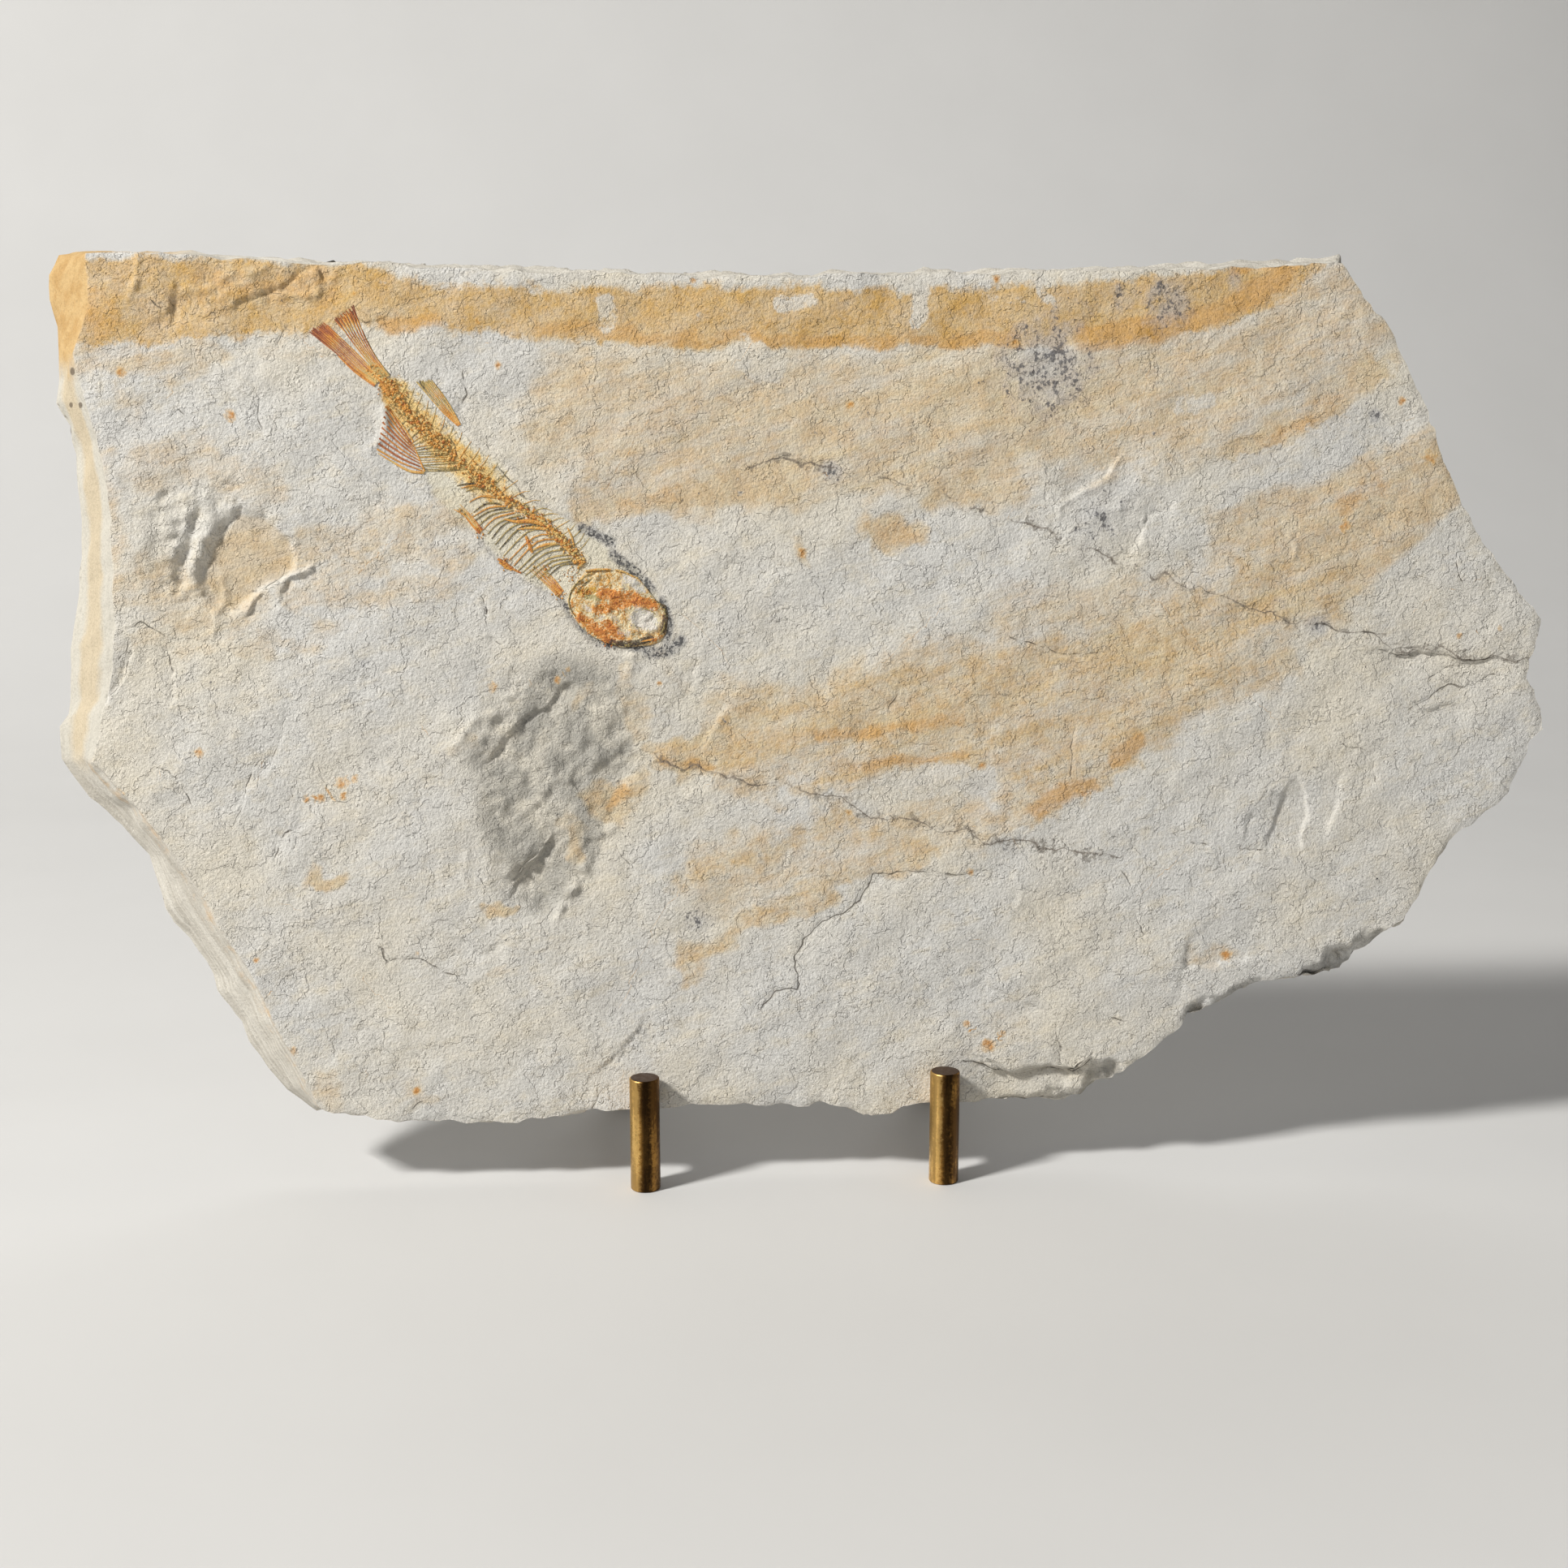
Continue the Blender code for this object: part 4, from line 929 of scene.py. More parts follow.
in_body = (read["body"] + blotchy * 2.0).ramp(-0.8, 1.2)
tail_part = read["tailward"].ramp(34, 52)
stain = (1.9 + 2.8 * tail_part - read["spine"] + blotchy * 7 + gritty * 4).ramp(-0.8, 2.2)
ochre = (stain + gritty * 2.4 + blotchy * 1.6).ramp(1.0, 1.6) * in_body
veil = (read["dendrites"] + blotchy * 1.2).ramp(0.1, 1.0) * read["dendrites"].ramp(0.0, 0.4)
branching = (read["dendrites"] * 0.9 + gritty * 3.0 + dusty * 1.6).ramp(0.66, 1.1)
edge_of_body = abs(read["body"] + 0.5 + blotchy * 1.5).ramp(0.7, 0.1)

vein = abs(read["vein_side"] + blotchy * 2.2).ramp(0.4, 0.08) * read["vein_near"].ramp(2.4, 1.4)
beside_vein = (read["vein_near"].ramp(3.6, 0.4) * 0.7 + gritty * 3 + patchy * 2.4).ramp(0.7, 1.1)
crack_line = abs(read["crack_side"] + blotchy * 0.9).ramp(0.22, 0.06) * read["crack_near"].ramp(1.2, 0.6)
# Full strength on the long crack and on the ledge's painted shadow.
cracks_and_shadow = crack_line * blotch.ramp(0.42, 0.62).at_least(read["crack_and_ledge_shadow"])
black_dot = grit.ramp(0.74, 0.77) * patch.ramp(0.5, 0.6)
print("nodes with the masks:", len(stone.tree.nodes))

# %% Lay the coats on the face
colour = stone.coats(ground, (
    (iron, tan),
    (deep * 0.55, (201, 150, 78)),
    (metal_cloud * 0.5, (178, 178, 180)),
    (black_specks * 0.8, (84, 84, 88)),
    (rust_reach.ramp(-0.5, 0.9) * rust_close * 0.45, (212, 168, 96)),
    (rust_reach.ramp(0.5, 1.6) * rust_close * 0.75, (186, 122, 44)),
    (in_body * 0.6, (217, 209, 184)),
    (in_body * stain * (0.4 + 0.35 * tail_part), (226, 188, 104)),
    (ochre * 0.65, (216, 152, 56)),
    (veil * 0.55, (143, 143, 144)),
    (branching * read["dendrites"].ramp(0.1, 0.5) * 0.85, (70, 71, 74)),
    (edge_of_body * (1 - tail_part) * 0.22, (136, 132, 128)),
    (vein * patch.ramp(0.34, 0.54) * 0.75, (112, 102, 92)),
    (beside_vein * read["vein_near"].ramp(3.8, 2.5) * 0.6, (116, 108, 98)),
    (cracks_and_shadow * 0.75, (96, 88, 78)),
    (black_dot * 0.8, (60, 56, 52)),
))
print("nodes with the coats:", len(stone.tree.nodes))

# %% The broken edges
across, up = read["across"], read["up"]
on_edge = read["edge"].ramp(0.3, 0.75)
layer_place = read["bedding"] + patchy * 3.4 + blotchy * 1.6
layer_lines = stone.noise(1.0, 3, 0.6, stretch=stone.drawn_out((30, 1, 30), (-LEAN, 0, 0)))
left_side = across.ramp(-150, -172) * up.ramp(88, 98)
beige = layer_place.ramp(2.6, 5.0) * layer_place.ramp(11.2, 8.4)
low_streaks = across.ramp(-118, -128) * up.ramp(96, 90) * (layer_lines - 0.1 * layer_place).ramp(0.0, 0.3)
HOLES = ((-185, 194.5, 1.0), (-187, 186.5, 0.7), (-183.5, 186, 0.8))  # across, up, radius
edge_colour = stone.mix(layer_lines.ramp(0.35, 0.65), paint(206, 201, 190), paint(184, 178, 166))
cream = stone.mix(beige * 0.7, paint(191, 186, 174), paint(190, 172, 140))
edge_colour = stone.mix(left_side, edge_colour, cream)
edge_colour = stone.shade(layer_lines.ramp(0.4, 0.7) * left_side * 0.3, edge_colour, 0.8)
chunk_colour = stone.mix(blotch.ramp(0.35, 0.65), paint(192, 162, 114), paint(178, 144, 94))
edge_colour = stone.coats(edge_colour, [
    (left_side * (up + patchy * 14).ramp(192, 200), chunk_colour),
    (low_streaks * blotch.ramp(0.45, 0.7) * 0.5, (206, 170, 122)),
])
for hole_across, hole_up, radius in HOLES:
    square = (across - hole_across) * (across - hole_across) + (up - hole_up) * (up - hole_up)
    hole = square.ramp(1.3 * radius ** 2, 0.5 * radius ** 2)
    edge_colour = stone.mix(hole * 0.8, edge_colour, paint(96, 84, 70))
colour = stone.mix(on_edge, colour, edge_colour)
# Painted shade: the chipped facets are darkened, as they face away from the key lamp.
colour = stone.shade(read["chips"] * (blotch * 0.5 + patch * 0.5).ramp(0.36, 0.56) * 0.8, colour, 0.55)
colour = stone.shade(dust.ramp(0.46, 0.68) * 0.42, colour, 0.68)
stone.set("Base Color", stone.shade(grit.ramp(0.50, 0.30) * 0.34, colour, 0.74))
print("nodes with the broken edges:", len(stone.tree.nodes))

# %% The stone's grain
smooth_left = across.ramp(-118, -130) * on_edge
grain = stone.noise(0.75, 3, 0.7) * (0.5 + read["rough"] * 0.3) + stone.noise(2.6, 4, 0.65) * 0.42
flakes = stone.noise(9, 4, 0.62).ramp(0.50, 0.52) * 0.25 + stone.noise(5, 4, 0.64).ramp(0.60, 0.62) * 0.23
stone.relief(grain * (1 - 0.5 * smooth_left) - cracks_and_shadow * 0.35
             + flakes * (1 - on_edge) + layer_lines * on_edge * 0.4)
make_piece("slab_stone", slab, stone, "stone", "slab")

# %% [markdown]
# ## Bones as bent sticks
# Nearly every bone here is a thin tapering stick: a rib, a spine, a fin ray, the jaw. One straight stick is
# made from a cone and cut across, and copies of it are bent onto smooth lines. A stick knows its own tone,
# near black at 0, then olive, tan, orange and deep rust at 1, and keeps it as an attribute for the finish.
# Sticks lie half sunk in the stone, as fossil bones do, so only their upper half has to look right.

# %% The stick and its bend
def straight_stick(sides, cuts):
    mesh = bmesh.new()
    bmesh.ops.create_cone(mesh, cap_ends=True, segments=sides, radius1=1, radius2=1, depth=1,
                          matrix=Matrix.Translation((0, 0, 0.5)))
    long_edges = [edge for edge in mesh.edges if abs(edge.verts[0].co.z - edge.verts[1].co.z) > 0.5]
    bmesh.ops.subdivide_edges(mesh, edges=long_edges, cuts=cuts)
    data = bpy.data.meshes.new("stick")
    mesh.to_mesh(data)
    mesh.free()
    return data


def smooth_point(line, part):
    """A point and a direction on a smooth curve through the line's points."""
    spans = len(line) - 1
    place = min(part * spans, spans - 1e-6)
    k = int(place)
    t = place - k
    a, b, c, d = (Vector(line[min(max(i, 0), spans)]) for i in (k - 1, k, k + 1, k + 2))
    point = 0.5 * (2 * b + (c - a) * t + (2 * a - 5 * b + 4 * c - d) * t ** 2
                   + (3 * b - a - 3 * c + d) * t ** 3)
    way = 0.5 * ((c - a) + 2 * (2 * a - 5 * b + 4 * c - d) * t + 3 * (3 * b - a - 3 * c + d) * t ** 2)
    return point, way.normalized()


STICKS = {"fine": straight_stick(5, 5), "round": straight_stick(8, 9)}
print("stick faces:", {name: len(data.polygons) for name, data in STICKS.items()})

# %% Bones and grains on the stone
near_fish = np.nonzero(front & (to_outline(plane, FISH_FIELD) > 0))[0]
stone_tree = kdtree.KDTree(len(near_fish))
for index in near_fish:
    stone_tree.insert((plane[index, 0], plane[index, 1], 0), int(index))
stone_tree.balance()


def stone_depth(x, z):
    """The depth of the finished stone's face at a point near the fish."""
    found = stone_tree.find_n((x, z, 0), 3)
    return sum(points[index, 1] for _, index, _ in found) / len(found)


def add_bone(mesh, line, halves, tone, kind="fine", lift=0.0, flat=0.75):
    """Bend a stick onto a line of (across, up) points. halves are half widths from start to end."""
    layer = mesh.verts.layers.float["tone"]
    first_tone, last_tone = tone if isinstance(tone, tuple) else (tone, tone)
    count = len(mesh.verts)
    mesh.from_mesh(STICKS[kind])
    mesh.verts.ensure_lookup_table()
    for vert in mesh.verts[count:]:
        x, y, part = vert.co
        point, way = smooth_point(line, part)
        slot = min(part * (len(halves) - 1), len(halves) - 1.001)
        low = int(slot)
        half = halves[low] + (halves[low + 1] - halves[low]) * (slot - low)
        depth = stone_depth(point.x, point.y) - lift + y * half * flat
        vert.co = (point.x - way.y * x * half, depth, point.y + way.x * x * half)
        vert[layer] = first_tone + (last_tone - first_tone) * part


def add_grain(mesh, place, size, tone, rng, lift=0.0):
    """A small lump of mineral, as a squashed and turned ball."""
    layer = mesh.verts.layers.float["tone"]
    turn = Matrix.Rotation(rng.uniform(0, math.pi), 4, Vector((rng.random(), rng.random(), 0.3)))
    stretch = Matrix.Diagonal((rng.uniform(0.7, 1.3), rng.uniform(0.6, 1.0), rng.uniform(0.7, 1.3), 1))
    where = Matrix.Translation((place[0], stone_depth(*place) - lift, place[1]))
    made = bmesh.ops.create_icosphere(mesh, subdivisions=1, radius=size, matrix=where @ turn @ stretch)
    for vert in made["verts"]:
        vert[layer] = tone


def new_bones():
    mesh = bmesh.new()
    mesh.verts.layers.float.new("tone")
    return mesh


def between(first, second, part):
    """A line part of the way from one line to another with as many points."""
    return [tuple(Vector(a).lerp(Vector(b), part)) for a, b in zip(first, second)]


def jitter(line, amount, rng):
    return [(x + rng.uniform(-amount, amount), z + rng.uniform(-amount, amount)) for x, z in line]


def vary(halves, rng):
    return [half * rng.uniform(0.8, 1.2) for half in halves]


print("the stone's depth under the eye:", round(stone_depth(-38.6, 129.8), 2), "mm")

# %% [markdown]
# ## The backbone, ribs and spines
# The vertebrae have weathered to a string of orange grains, so they are built as that: a small drum for
# each vertebra with loose grains over and round it, in a wider band towards the tail. The ribs are drawn
# like hair, from a few guide lines with the others spaced between them. A row of EXTRA_BONES has the bone's
# line, its half widths, and its tone as the last number.

# %% Build the backbone
RIB_GUIDES = lines("""-82.8,165.5 -85,165.5 -87.3,164.8; -79.1,163.6 -81.9,164.2 -84.8,163.4; -75.9,160.1
    -79.7,160.2 -83.2,158.2; -73.2,159.1 -78.7,158.5 -82.9,155.6; -72.2,157.9 -77.6,156.4 -80.6,153.4;
    -70,156.6 -74.9,155 -78.4,151.2; -65.7,154.7 -71.1,153.9 -76.6,148.2; -62.2,152.3 -67.6,151.7
    -74.3,145.4; -60,149.6 -65.4,148.6 -71.6,142.9; -58.2,147 -63.8,146 -69.7,141.4; -56.7,145.2 -62,144.4
    -66.6,140.6; -55.4,143.6 -59,143.6 -61.9,141.2""")
LOW_SPINES = lines("""-100.2,184.4 -101.6,183 -103.2,180.8; -95.6,179.8 -97.6,178.4 -99.6,176.2; -91.4,176
    -94.6,175.6 -98,174.7; -88.6,173.8 -92,173.4 -97.2,173; -86.6,172 -91,171.8 -96.3,171.6; -84.9,170.4
    -90.4,169.8 -95.6,169.9; -83.9,168.8 -89.9,168.2 -95.1,168.4""")
HIGH_SPINES = lines("""-101.5,187.6 -100.6,189.6 -99.2,191.8; -94.4,179.2 -92.8,182 -92.2,185.2; -86.6,171.8
    -84.4,174.6 -83.4,176.6; -78.2,164.9 -75.6,167 -74,168.8; -68,158.2 -65,159 -62.6,158.4; -60.4,151.8
    -57.8,153.4 -56.4,154.9; -55.2,145.8 -53.2,147.8 -52,150""")


def add_family(mesh, guides, between_count, halves, tones, rng, lift=0.0):
    """Bones along guide lines, and evenly spaced ones between each pair of guides."""
    for first, second in zip(guides, guides[1:]):
        for k in range(between_count):
            line = jitter(between(first, second, k / between_count), 0.2, rng)
            add_bone(mesh, line, vary(halves, rng), rng.choice(tones), lift=lift)


rng = random.Random(17)
backbone = new_bones()
VERTEBRAE = 44
TAIL_SHARE = 0.48
DRUM_HALF_LENGTH = 0.6
DRUM_HALVES = [0.6, 0.42, 0.6]
GRAIN_TONES = (0.3, 0.42, 0.5, 0.55, 0.65, 0.85)
for k in range(VERTEBRAE):
    place, way = smooth_point(BACKBONE, (k + 0.5) / VERTEBRAE)
    ends = [tuple(place + way * reach) for reach in (-DRUM_HALF_LENGTH, 0, DRUM_HALF_LENGTH)]
    add_bone(backbone, ends, DRUM_HALVES, rng.uniform(0.4, 0.65), lift=0.1)
    spread, grains = (1.45, 26) if k < VERTEBRAE * TAIL_SHARE else (0.85, 16)
    for _ in range(grains):
        off = Vector((-way.y, way.x)) * rng.gauss(0, spread) + way * rng.uniform(-0.8, 0.8)
        size = rng.uniform(0.2, 0.62) * (1 - 0.22 * min(abs(off.length), 3))
        add_grain(backbone, place + off, size, rng.choice(GRAIN_TONES), rng, 0.2)
add_family(backbone, RIB_GUIDES, 2, [0.22, 0.2, 0.17, 0.1], [0.08, 0.2, 0.3, 0.66], rng, 0.1)
add_family(backbone, LOW_SPINES, 3, [0.16, 0.14, 0.1], [0.2, 0.3, 0.5], rng, 0.06)
add_family(backbone, HIGH_SPINES, 4, [0.12, 0.1, 0.05], [0.3, 0.42, 0.5], rng, 0.05)
EXTRA_BONES = drawn("""-69.5,151.8 -68.7,149.6 -67.9,147.5 0.35 0.45 0.3 0.75; -76.9,145.9 -74.7,144.5
    -73,143.2 -70.9,142.2 0.3 0.45 0.3 0.25 0.8; -76.6,145 -75,143.9 -73.4,142.9 0.2 0.35 0.2 0.6;
    -64.9,154.9 -68.4,155.7 -72,155.6 -75.2,156.3 0.5 0.6 0.4 0.15 0.65; -63.8,153.6 -67.8,154 -71.8,153.6
    0.45 0.4 0.15 0.55; -61.6,149.8 -65,149.4 -68.4,147.8 0.4 0.35 0.15 0.5; -58.6,153.9 -57.6,151.6
    -56.9,149 0.15 0.28 0.2 0.5; -106,191.4 -104.9,190 -104.2,188.2 0.8 0.9 0.6 0.7""")
for line, *halves, tone in EXTRA_BONES:
    add_bone(backbone, line, halves, tone, "round", 0.12)
LOOSE_GRAINS = [  # across, up, spread, count
    (-75, 144.6, 1.2, 26), (-68.8, 149.6, 0.7, 12), (-81.4, 153.0, 0.9, 16), (-61.2, 136.4, 0.9, 18),
    (-64.8, 142.6, 1.0, 16), (-86, 158, 0.8, 10), (-57.5, 142.5, 1.2, 26), (-70, 155.5, 1.6, 24),
]
for across, up, spread, count in LOOSE_GRAINS:
    for _ in range(count):
        place = (across + rng.gauss(0, spread), up + rng.gauss(0, spread))
        add_grain(backbone, place, rng.uniform(0.12, 0.32), rng.uniform(0.35, 0.85), rng, 0.1)
print("backbone verts:", len(backbone.verts))

# %% [markdown]
# ## The skull
# The head is a crushed mosaic of thin plates. Its packed solid already has the outline and the sunk eye, so
# a copy of it is cut finely and wrinkled. The arcs of the gill cover, the jaw and the rim of the eye are
# sticks laid on it, and small grains crust its rusty parts. Patches of colour are strokes, as on the slab.

# %% Draw the skull's patches and arcs
SKULL_STROKES = {
    "rusty": drawn("""-49.5,136.8 -42.6,135.5 -36.6,133.4 1.9 0.95; -50.9,132.2 -47,133.4 -43.4,133.9 1.6 1;
        -55.6,130.2 -52,127.8 -48.7,125.2 -47.2,123.9 1.7 1; -48.6,128.3 -45.6,125.7 2 0.95; -36.3,124.3
        -34.4,125.2 0.6 0.8; -58.6,131 -57.8,134 0.8 0.5; -33.6,132.5 -33.4,130 0.5 0.7"""),
    "mustard": drawn("""-55.2,137.1 -51.9,137.6 1 1; -42,141.8 -40.2,141.2 0.9 0.7; -53.8,131.6 -56.6,132.4
        1 0.5"""),
    "olive": drawn("""-53.7,135.8 -50.6,135.5 0.9 1; -41,139.6 -39.6,137.6 1 0.6"""),
    "white": drawn("""-40,130.2 -37.4,129.4 3 1; -50.2,130.1 -49.6,130.6 0.9 0.6; -45.1,126.6 -43.4,126.2
        1.2 0.6; -43.6,140.8 -39.4,137.8 1.4 0.8; -44.2,139.4 -43.6,138 0.8 0.6; -54.6,133.4 -53.2,132.4 0.9
        0.5; -47.6,131 -46,129.6 0.9 0.5"""),
    "black": drawn("""-47.2,123.9 -43.5,123.4 -40.4,123.9 -37.3,124.8 0.9 1; -34.1,134.4 -32.8,132.3
        -33.1,129.7 -33.8,127 1 1; -39,140.4 -37.6,138.4 0.7 0.6; -43,129 -41.2,128 -39.4,127.5 0.3 0.6"""),
}
ARCS = drawn("""-52,142.4 -55.2,140.5 -57.8,137.6 -58.5,133.6 -56.8,130.6 0.12 0.2 0.2 0.16 0.1 0.18;
    -51.4,141.4 -54.2,139.4 -56.4,137.2 0.1 0.16 0.1 0.12; -50.6,140.4 -53.2,138.4 -55.2,136 -55.8,133.2 0.1
    0.16 0.16 0.1 0.3; -54.1,142.6 -51,143 -47.4,143 0.2 0.28 0.2 0.55; -46.4,142.9 -44.2,142.4 -41.4,141
    0.16 0.26 0.18 0.5; -47.4,123.6 -43.5,123.1 -40.4,123.5 -37.3,124.3 0.25 0.36 0.34 0.2 0.04; -39.8,124
    -37,124.5 -34.4,125.6 0.2 0.3 0.15 0.7; -35.4,134.6 -33.6,132.6 -33.2,130.4 0.2 0.28 0.2 0.08;
    -33.3,129.4 -33.8,127.2 -34.8,125.8 0.2 0.26 0.15 0.1; -45.2,142.6 -44.2,139.8 -45.4,137 0.12 0.18 0.12
    0.4; -48.8,141.9 -47.6,139.2 -48.4,136.4 0.12 0.18 0.1 0.45; -43,129 -41.2,127.9 -39,127.4 -36.6,127.8
    0.1 0.15 0.15 0.1 0.08; -41.6,131.6 -39.8,132.6 -37.6,132.4 -35.8,131.2 0.1 0.14 0.14 0.1 0.2;
    -53.6,129.4 -50.4,131.2 -47.2,131.8 0.1 0.2 0.1 0.62; -57.6,132 -54.6,128.6 -51.4,126.2 -48.4,124.4 0.15
    0.22 0.22 0.15 0.78""")
print("arcs:", len(ARCS), "patches:", sum(len(table) for table in SKULL_STROKES.values()))

# %% Crumple the skull's plates
SKULL_CUT, SKULL_CUT_ROUNDS = (0.55), 4
ORBIT, ORBIT_HALVES = (-38.6, 129.8), (3.9, 3.3)
NOT_A_STICK = -1.0
skull = copy_node("skull")
for face in skull.faces:
    face.smooth = True
    face.material_index = FRONT
cut_to_size(skull, SKULL_CUT_ROUNDS, lambda middles, *kinds: np.full(len(middles), SKULL_CUT))
skull_points = mesh_points(skull)
skull_plane = skull_points[:, [0, 2]]
from_orbit = np.hypot(*((skull_plane - ORBIT) / ORBIT_HALVES).T)
on_top = skull_points[:, 1] < 0.3
inward = soft_step(to_outline(skull_plane, SKULL), 0, 1.6)
crumple = 0.38 * wobble(skull_plane, 2.4, 201, 3) + 0.2 * wobble(skull_plane, 1.1, 203, 2)
rise = inward * (0.2 + crumple) + 0.2 * np.exp(-((from_orbit - 1.0) / 0.2) ** 2)
rise -= 0.2 * soft_step(from_orbit, 1.0, 0.5)
rise += 0.2 * strokes(skull_plane, SKULL_STROKES["rusty"])
skull_points[:, 1] = np.where(on_top, 0.30 * skull_points[:, 1] - 0.05 - rise, skull_points[:, 1])
for vert, place in zip(skull.verts, skull_points):
    vert.co = place
write_marks(skull, {
    "tone": np.full(len(skull_points), NOT_A_STICK),
    **{name: strokes(skull_plane, table) for name, table in SKULL_STROKES.items()},
})
print("plate faces:", len(skull.faces))

# %% Lay the arcs and crust on the skull
CRUST_GRAINS = 330
CRUSTED = SKULL_STROKES["rusty"][:4] + SKULL_STROKES["mustard"][:1]
for line, *halves, tone in ARCS:
    add_bone(skull, line, halves, tone, "round", 0.75)
for _ in range(CRUST_GRAINS):
    line, spread, _ = rng.choice(CRUSTED)
    scatter = Vector((rng.gauss(0, spread * 0.6), rng.gauss(0, spread * 0.6)))
    place = smooth_point(line, rng.random())[0] + scatter
    add_grain(skull, place, rng.uniform(0.13, 0.32), rng.uniform(0.4, 0.95), rng, 0.72)
print("skull faces:", len(skull.faces))

# %% [markdown]
# ## The fins
# A fin is a fan of jointed rays that fork towards their tips. Each is built between its first and last ray.
# The tail keeps two lobes of dense rays, and the anal fin is an open comb with stone between its rays.

# %% Draw the fins
FANS = {  # rays, fork, raggedness, lift, tones of base and tip, half widths, first and last ray
    "tail_fin": [
        (7, 0.72, 1.1, 0.15, (0.45, 1.15), [0.22, 0.15, 0.14, 0.2],
         """-103.9,193.2 -107.2,197.7 -110.3,203.6 -112.9,211.2; -105.9,192.3 -110.2,197.9 -114.2,203.2
         -117.3,207.9"""),
        (9, 0.62, 1.1, 0.15, (0.45, 1.25), [0.22, 0.18, 0.17, 0.2],
         """-106,192.2 -110.6,197.2 -115.6,202.2 -120.4,206.9; -107.6,190.9 -112.7,194.6 -118,199.6
         -123.9,204.6"""),
    ],
    "anal_fin": [(9, 1, 0.1, 0.12, (0.9, 0.9), [0.13, 0.25, 0.25],
                  "-98.6,176 -101.4,180.2 -104.9,185.4; -95.9,168.9 -101.6,171 -107.5,174.4")],
    "dorsal_fin": [(8, 0.7, 0.8, 0.12, (0.65, 0.22), [0.16, 0.15, 0.16, 0.14],
                    """-86.6,180.4 -90,183.4 -92.8,186.6 -97,191.6; -86,180.7 -88.6,185.3 -90.9,189
                    -93.5,192.2""")],
    "pelvic_fin": [(5, 1, 1.2, 0.05, (0.75, 0.42), [0.2, 0.17, 0.15, 0.08],
                    """-81.5,152.6 -83.6,154.6 -85.6,157.3 -88.2,159; -80.8,153.4 -82.5,155.6 -84.3,157.9
                    -86.6,160.2""")],
    "pectoral_fin": [(7, 1, 1.6, 0.05, (0.8, 0.4), [0.2, 0.17, 0.14, 0.08],
                      """-61.2,136 -63.6,138.3 -66,140.6 -69,143.2; -60,137.4 -61.8,139.8 -63.9,142.1
                      -66,144.8""")],
}
EDGE_RAYS_AND_SHADOW_LINE = {  # kind of stick, lift, tone, half widths, line
    "tail_fin": [
        # This near-black stick along the upper lobe's edge is a painted shadow line, not a ray.
        ("fine", 0.05, 0.05, [0.1, 0.1, 0.1, 0.06], "-103.6,193.3 -106.9,197.5 -110,203.4 -112.6,210.8"),
        ("fine", 0.1, 0.8, [0.28, 0.26, 0.12], "-107.8,190.6 -112.9,194.3 -117,198.3"),
    ],
    "anal_fin": [
        ("round", 0.08, 0.5, [0.34, 0.34, 0.272, 0.102], "-95.6,168.3 -99.2,168.7 -103,170.7 -107.2,173.3"),
        ("round", 0.08, 0.6, [0.2, 0.2, 0.16, 0.06], "-98.2,176.4 -101,180.6 -104.6,185.8"),
        ("round", 0.08, 0.65, [0.2, 0.2, 0.16, 0.06], "-95.4,168.6 -96.8,172 -98.4,176"),
    ],
    "dorsal_fin": [("fine", 0.1, (0.5, 0.05), [0.2, 0.14, 0.1, 0.05],
                    "-85.9,180.6 -88.4,185.4 -90.7,189.1 -93.2,192.3")],
}
TAIL_GRAINS, TAIL_ROOT = 150, Vector((-105.4, 191.8))
ALONG_ROOT, OUT_OF_ROOT = Vector((-0.62, 0.78)), Vector((0.78, 0.62))
print("fans:", {name: len(fans) for name, fans in FANS.items()})

# %% Build the fins
def add_fan(mesh, first, last, count, halves, tones, rng, fork_at, ragged, lift):
    """Rays from the first line to the last, each with its own length. Past fork_at a ray has a twin."""
    for k in range(count):
        line = jitter(between(first, last, k / (count - 1)), 0.08, rng)
        tip, before = Vector(line[-1]), Vector(line[-2])
        line[-1] = tuple(tip + (tip - before).normalized() * rng.uniform(-ragged, 0.4 * ragged))
        ends = tuple(tone + rng.uniform(-0.25, 0.25) for tone in tones)
        add_bone(mesh, line, vary(halves, rng), ends, lift=lift)
        if fork_at < 1:
            start = smooth_point(line, fork_at)[0]
            beyond = Vector(between(first, last, (k + 0.5) / (count - 1))[-1])
            twin = [tuple(start), tuple((start + beyond) / 2), tuple(beyond)]
            add_bone(mesh, twin, [halves[1] * 0.6, halves[-1], halves[-1] * 0.8], ends, lift=lift)


fins = {name: new_bones() for name in ("tail_fin", "dorsal_fin", "anal_fin", "pelvic_fin", "pectoral_fin")}
for name in FANS:
    fin = fins[name]
    for count, fork_at, ragged, lift, tones, halves, text in FANS[name]:
        add_fan(fin, *lines(text), count, halves, tones, rng, fork_at, ragged, lift)
    for kind, lift, tone, halves, text in EDGE_RAYS_AND_SHADOW_LINE.get(name, ()):
        add_bone(fin, outline(text), halves, tone, kind, lift)
    for _ in range(TAIL_GRAINS if name == "tail_fin" else 0):
        place = TAIL_ROOT + ALONG_ROOT * rng.gauss(0, 2.4) + OUT_OF_ROOT * rng.gauss(0, 0.8)
        add_grain(fin, place, rng.uniform(0.13, 0.38), rng.uniform(0.35, 0.8), rng, 0.2)
print({name: len(mesh.verts) for name, mesh in fins.items()})

# %% [markdown]
# ## The bone's finish
# Fossil bone here runs from near black through olive and orange to rust. The tone that each stick and grain
# carries picks a place on that scale, and noise shifts it, so that no two ribs match. The skull's plates
# are told apart by a tone below zero. They are pale, and take their tints from the patches drawn on them.

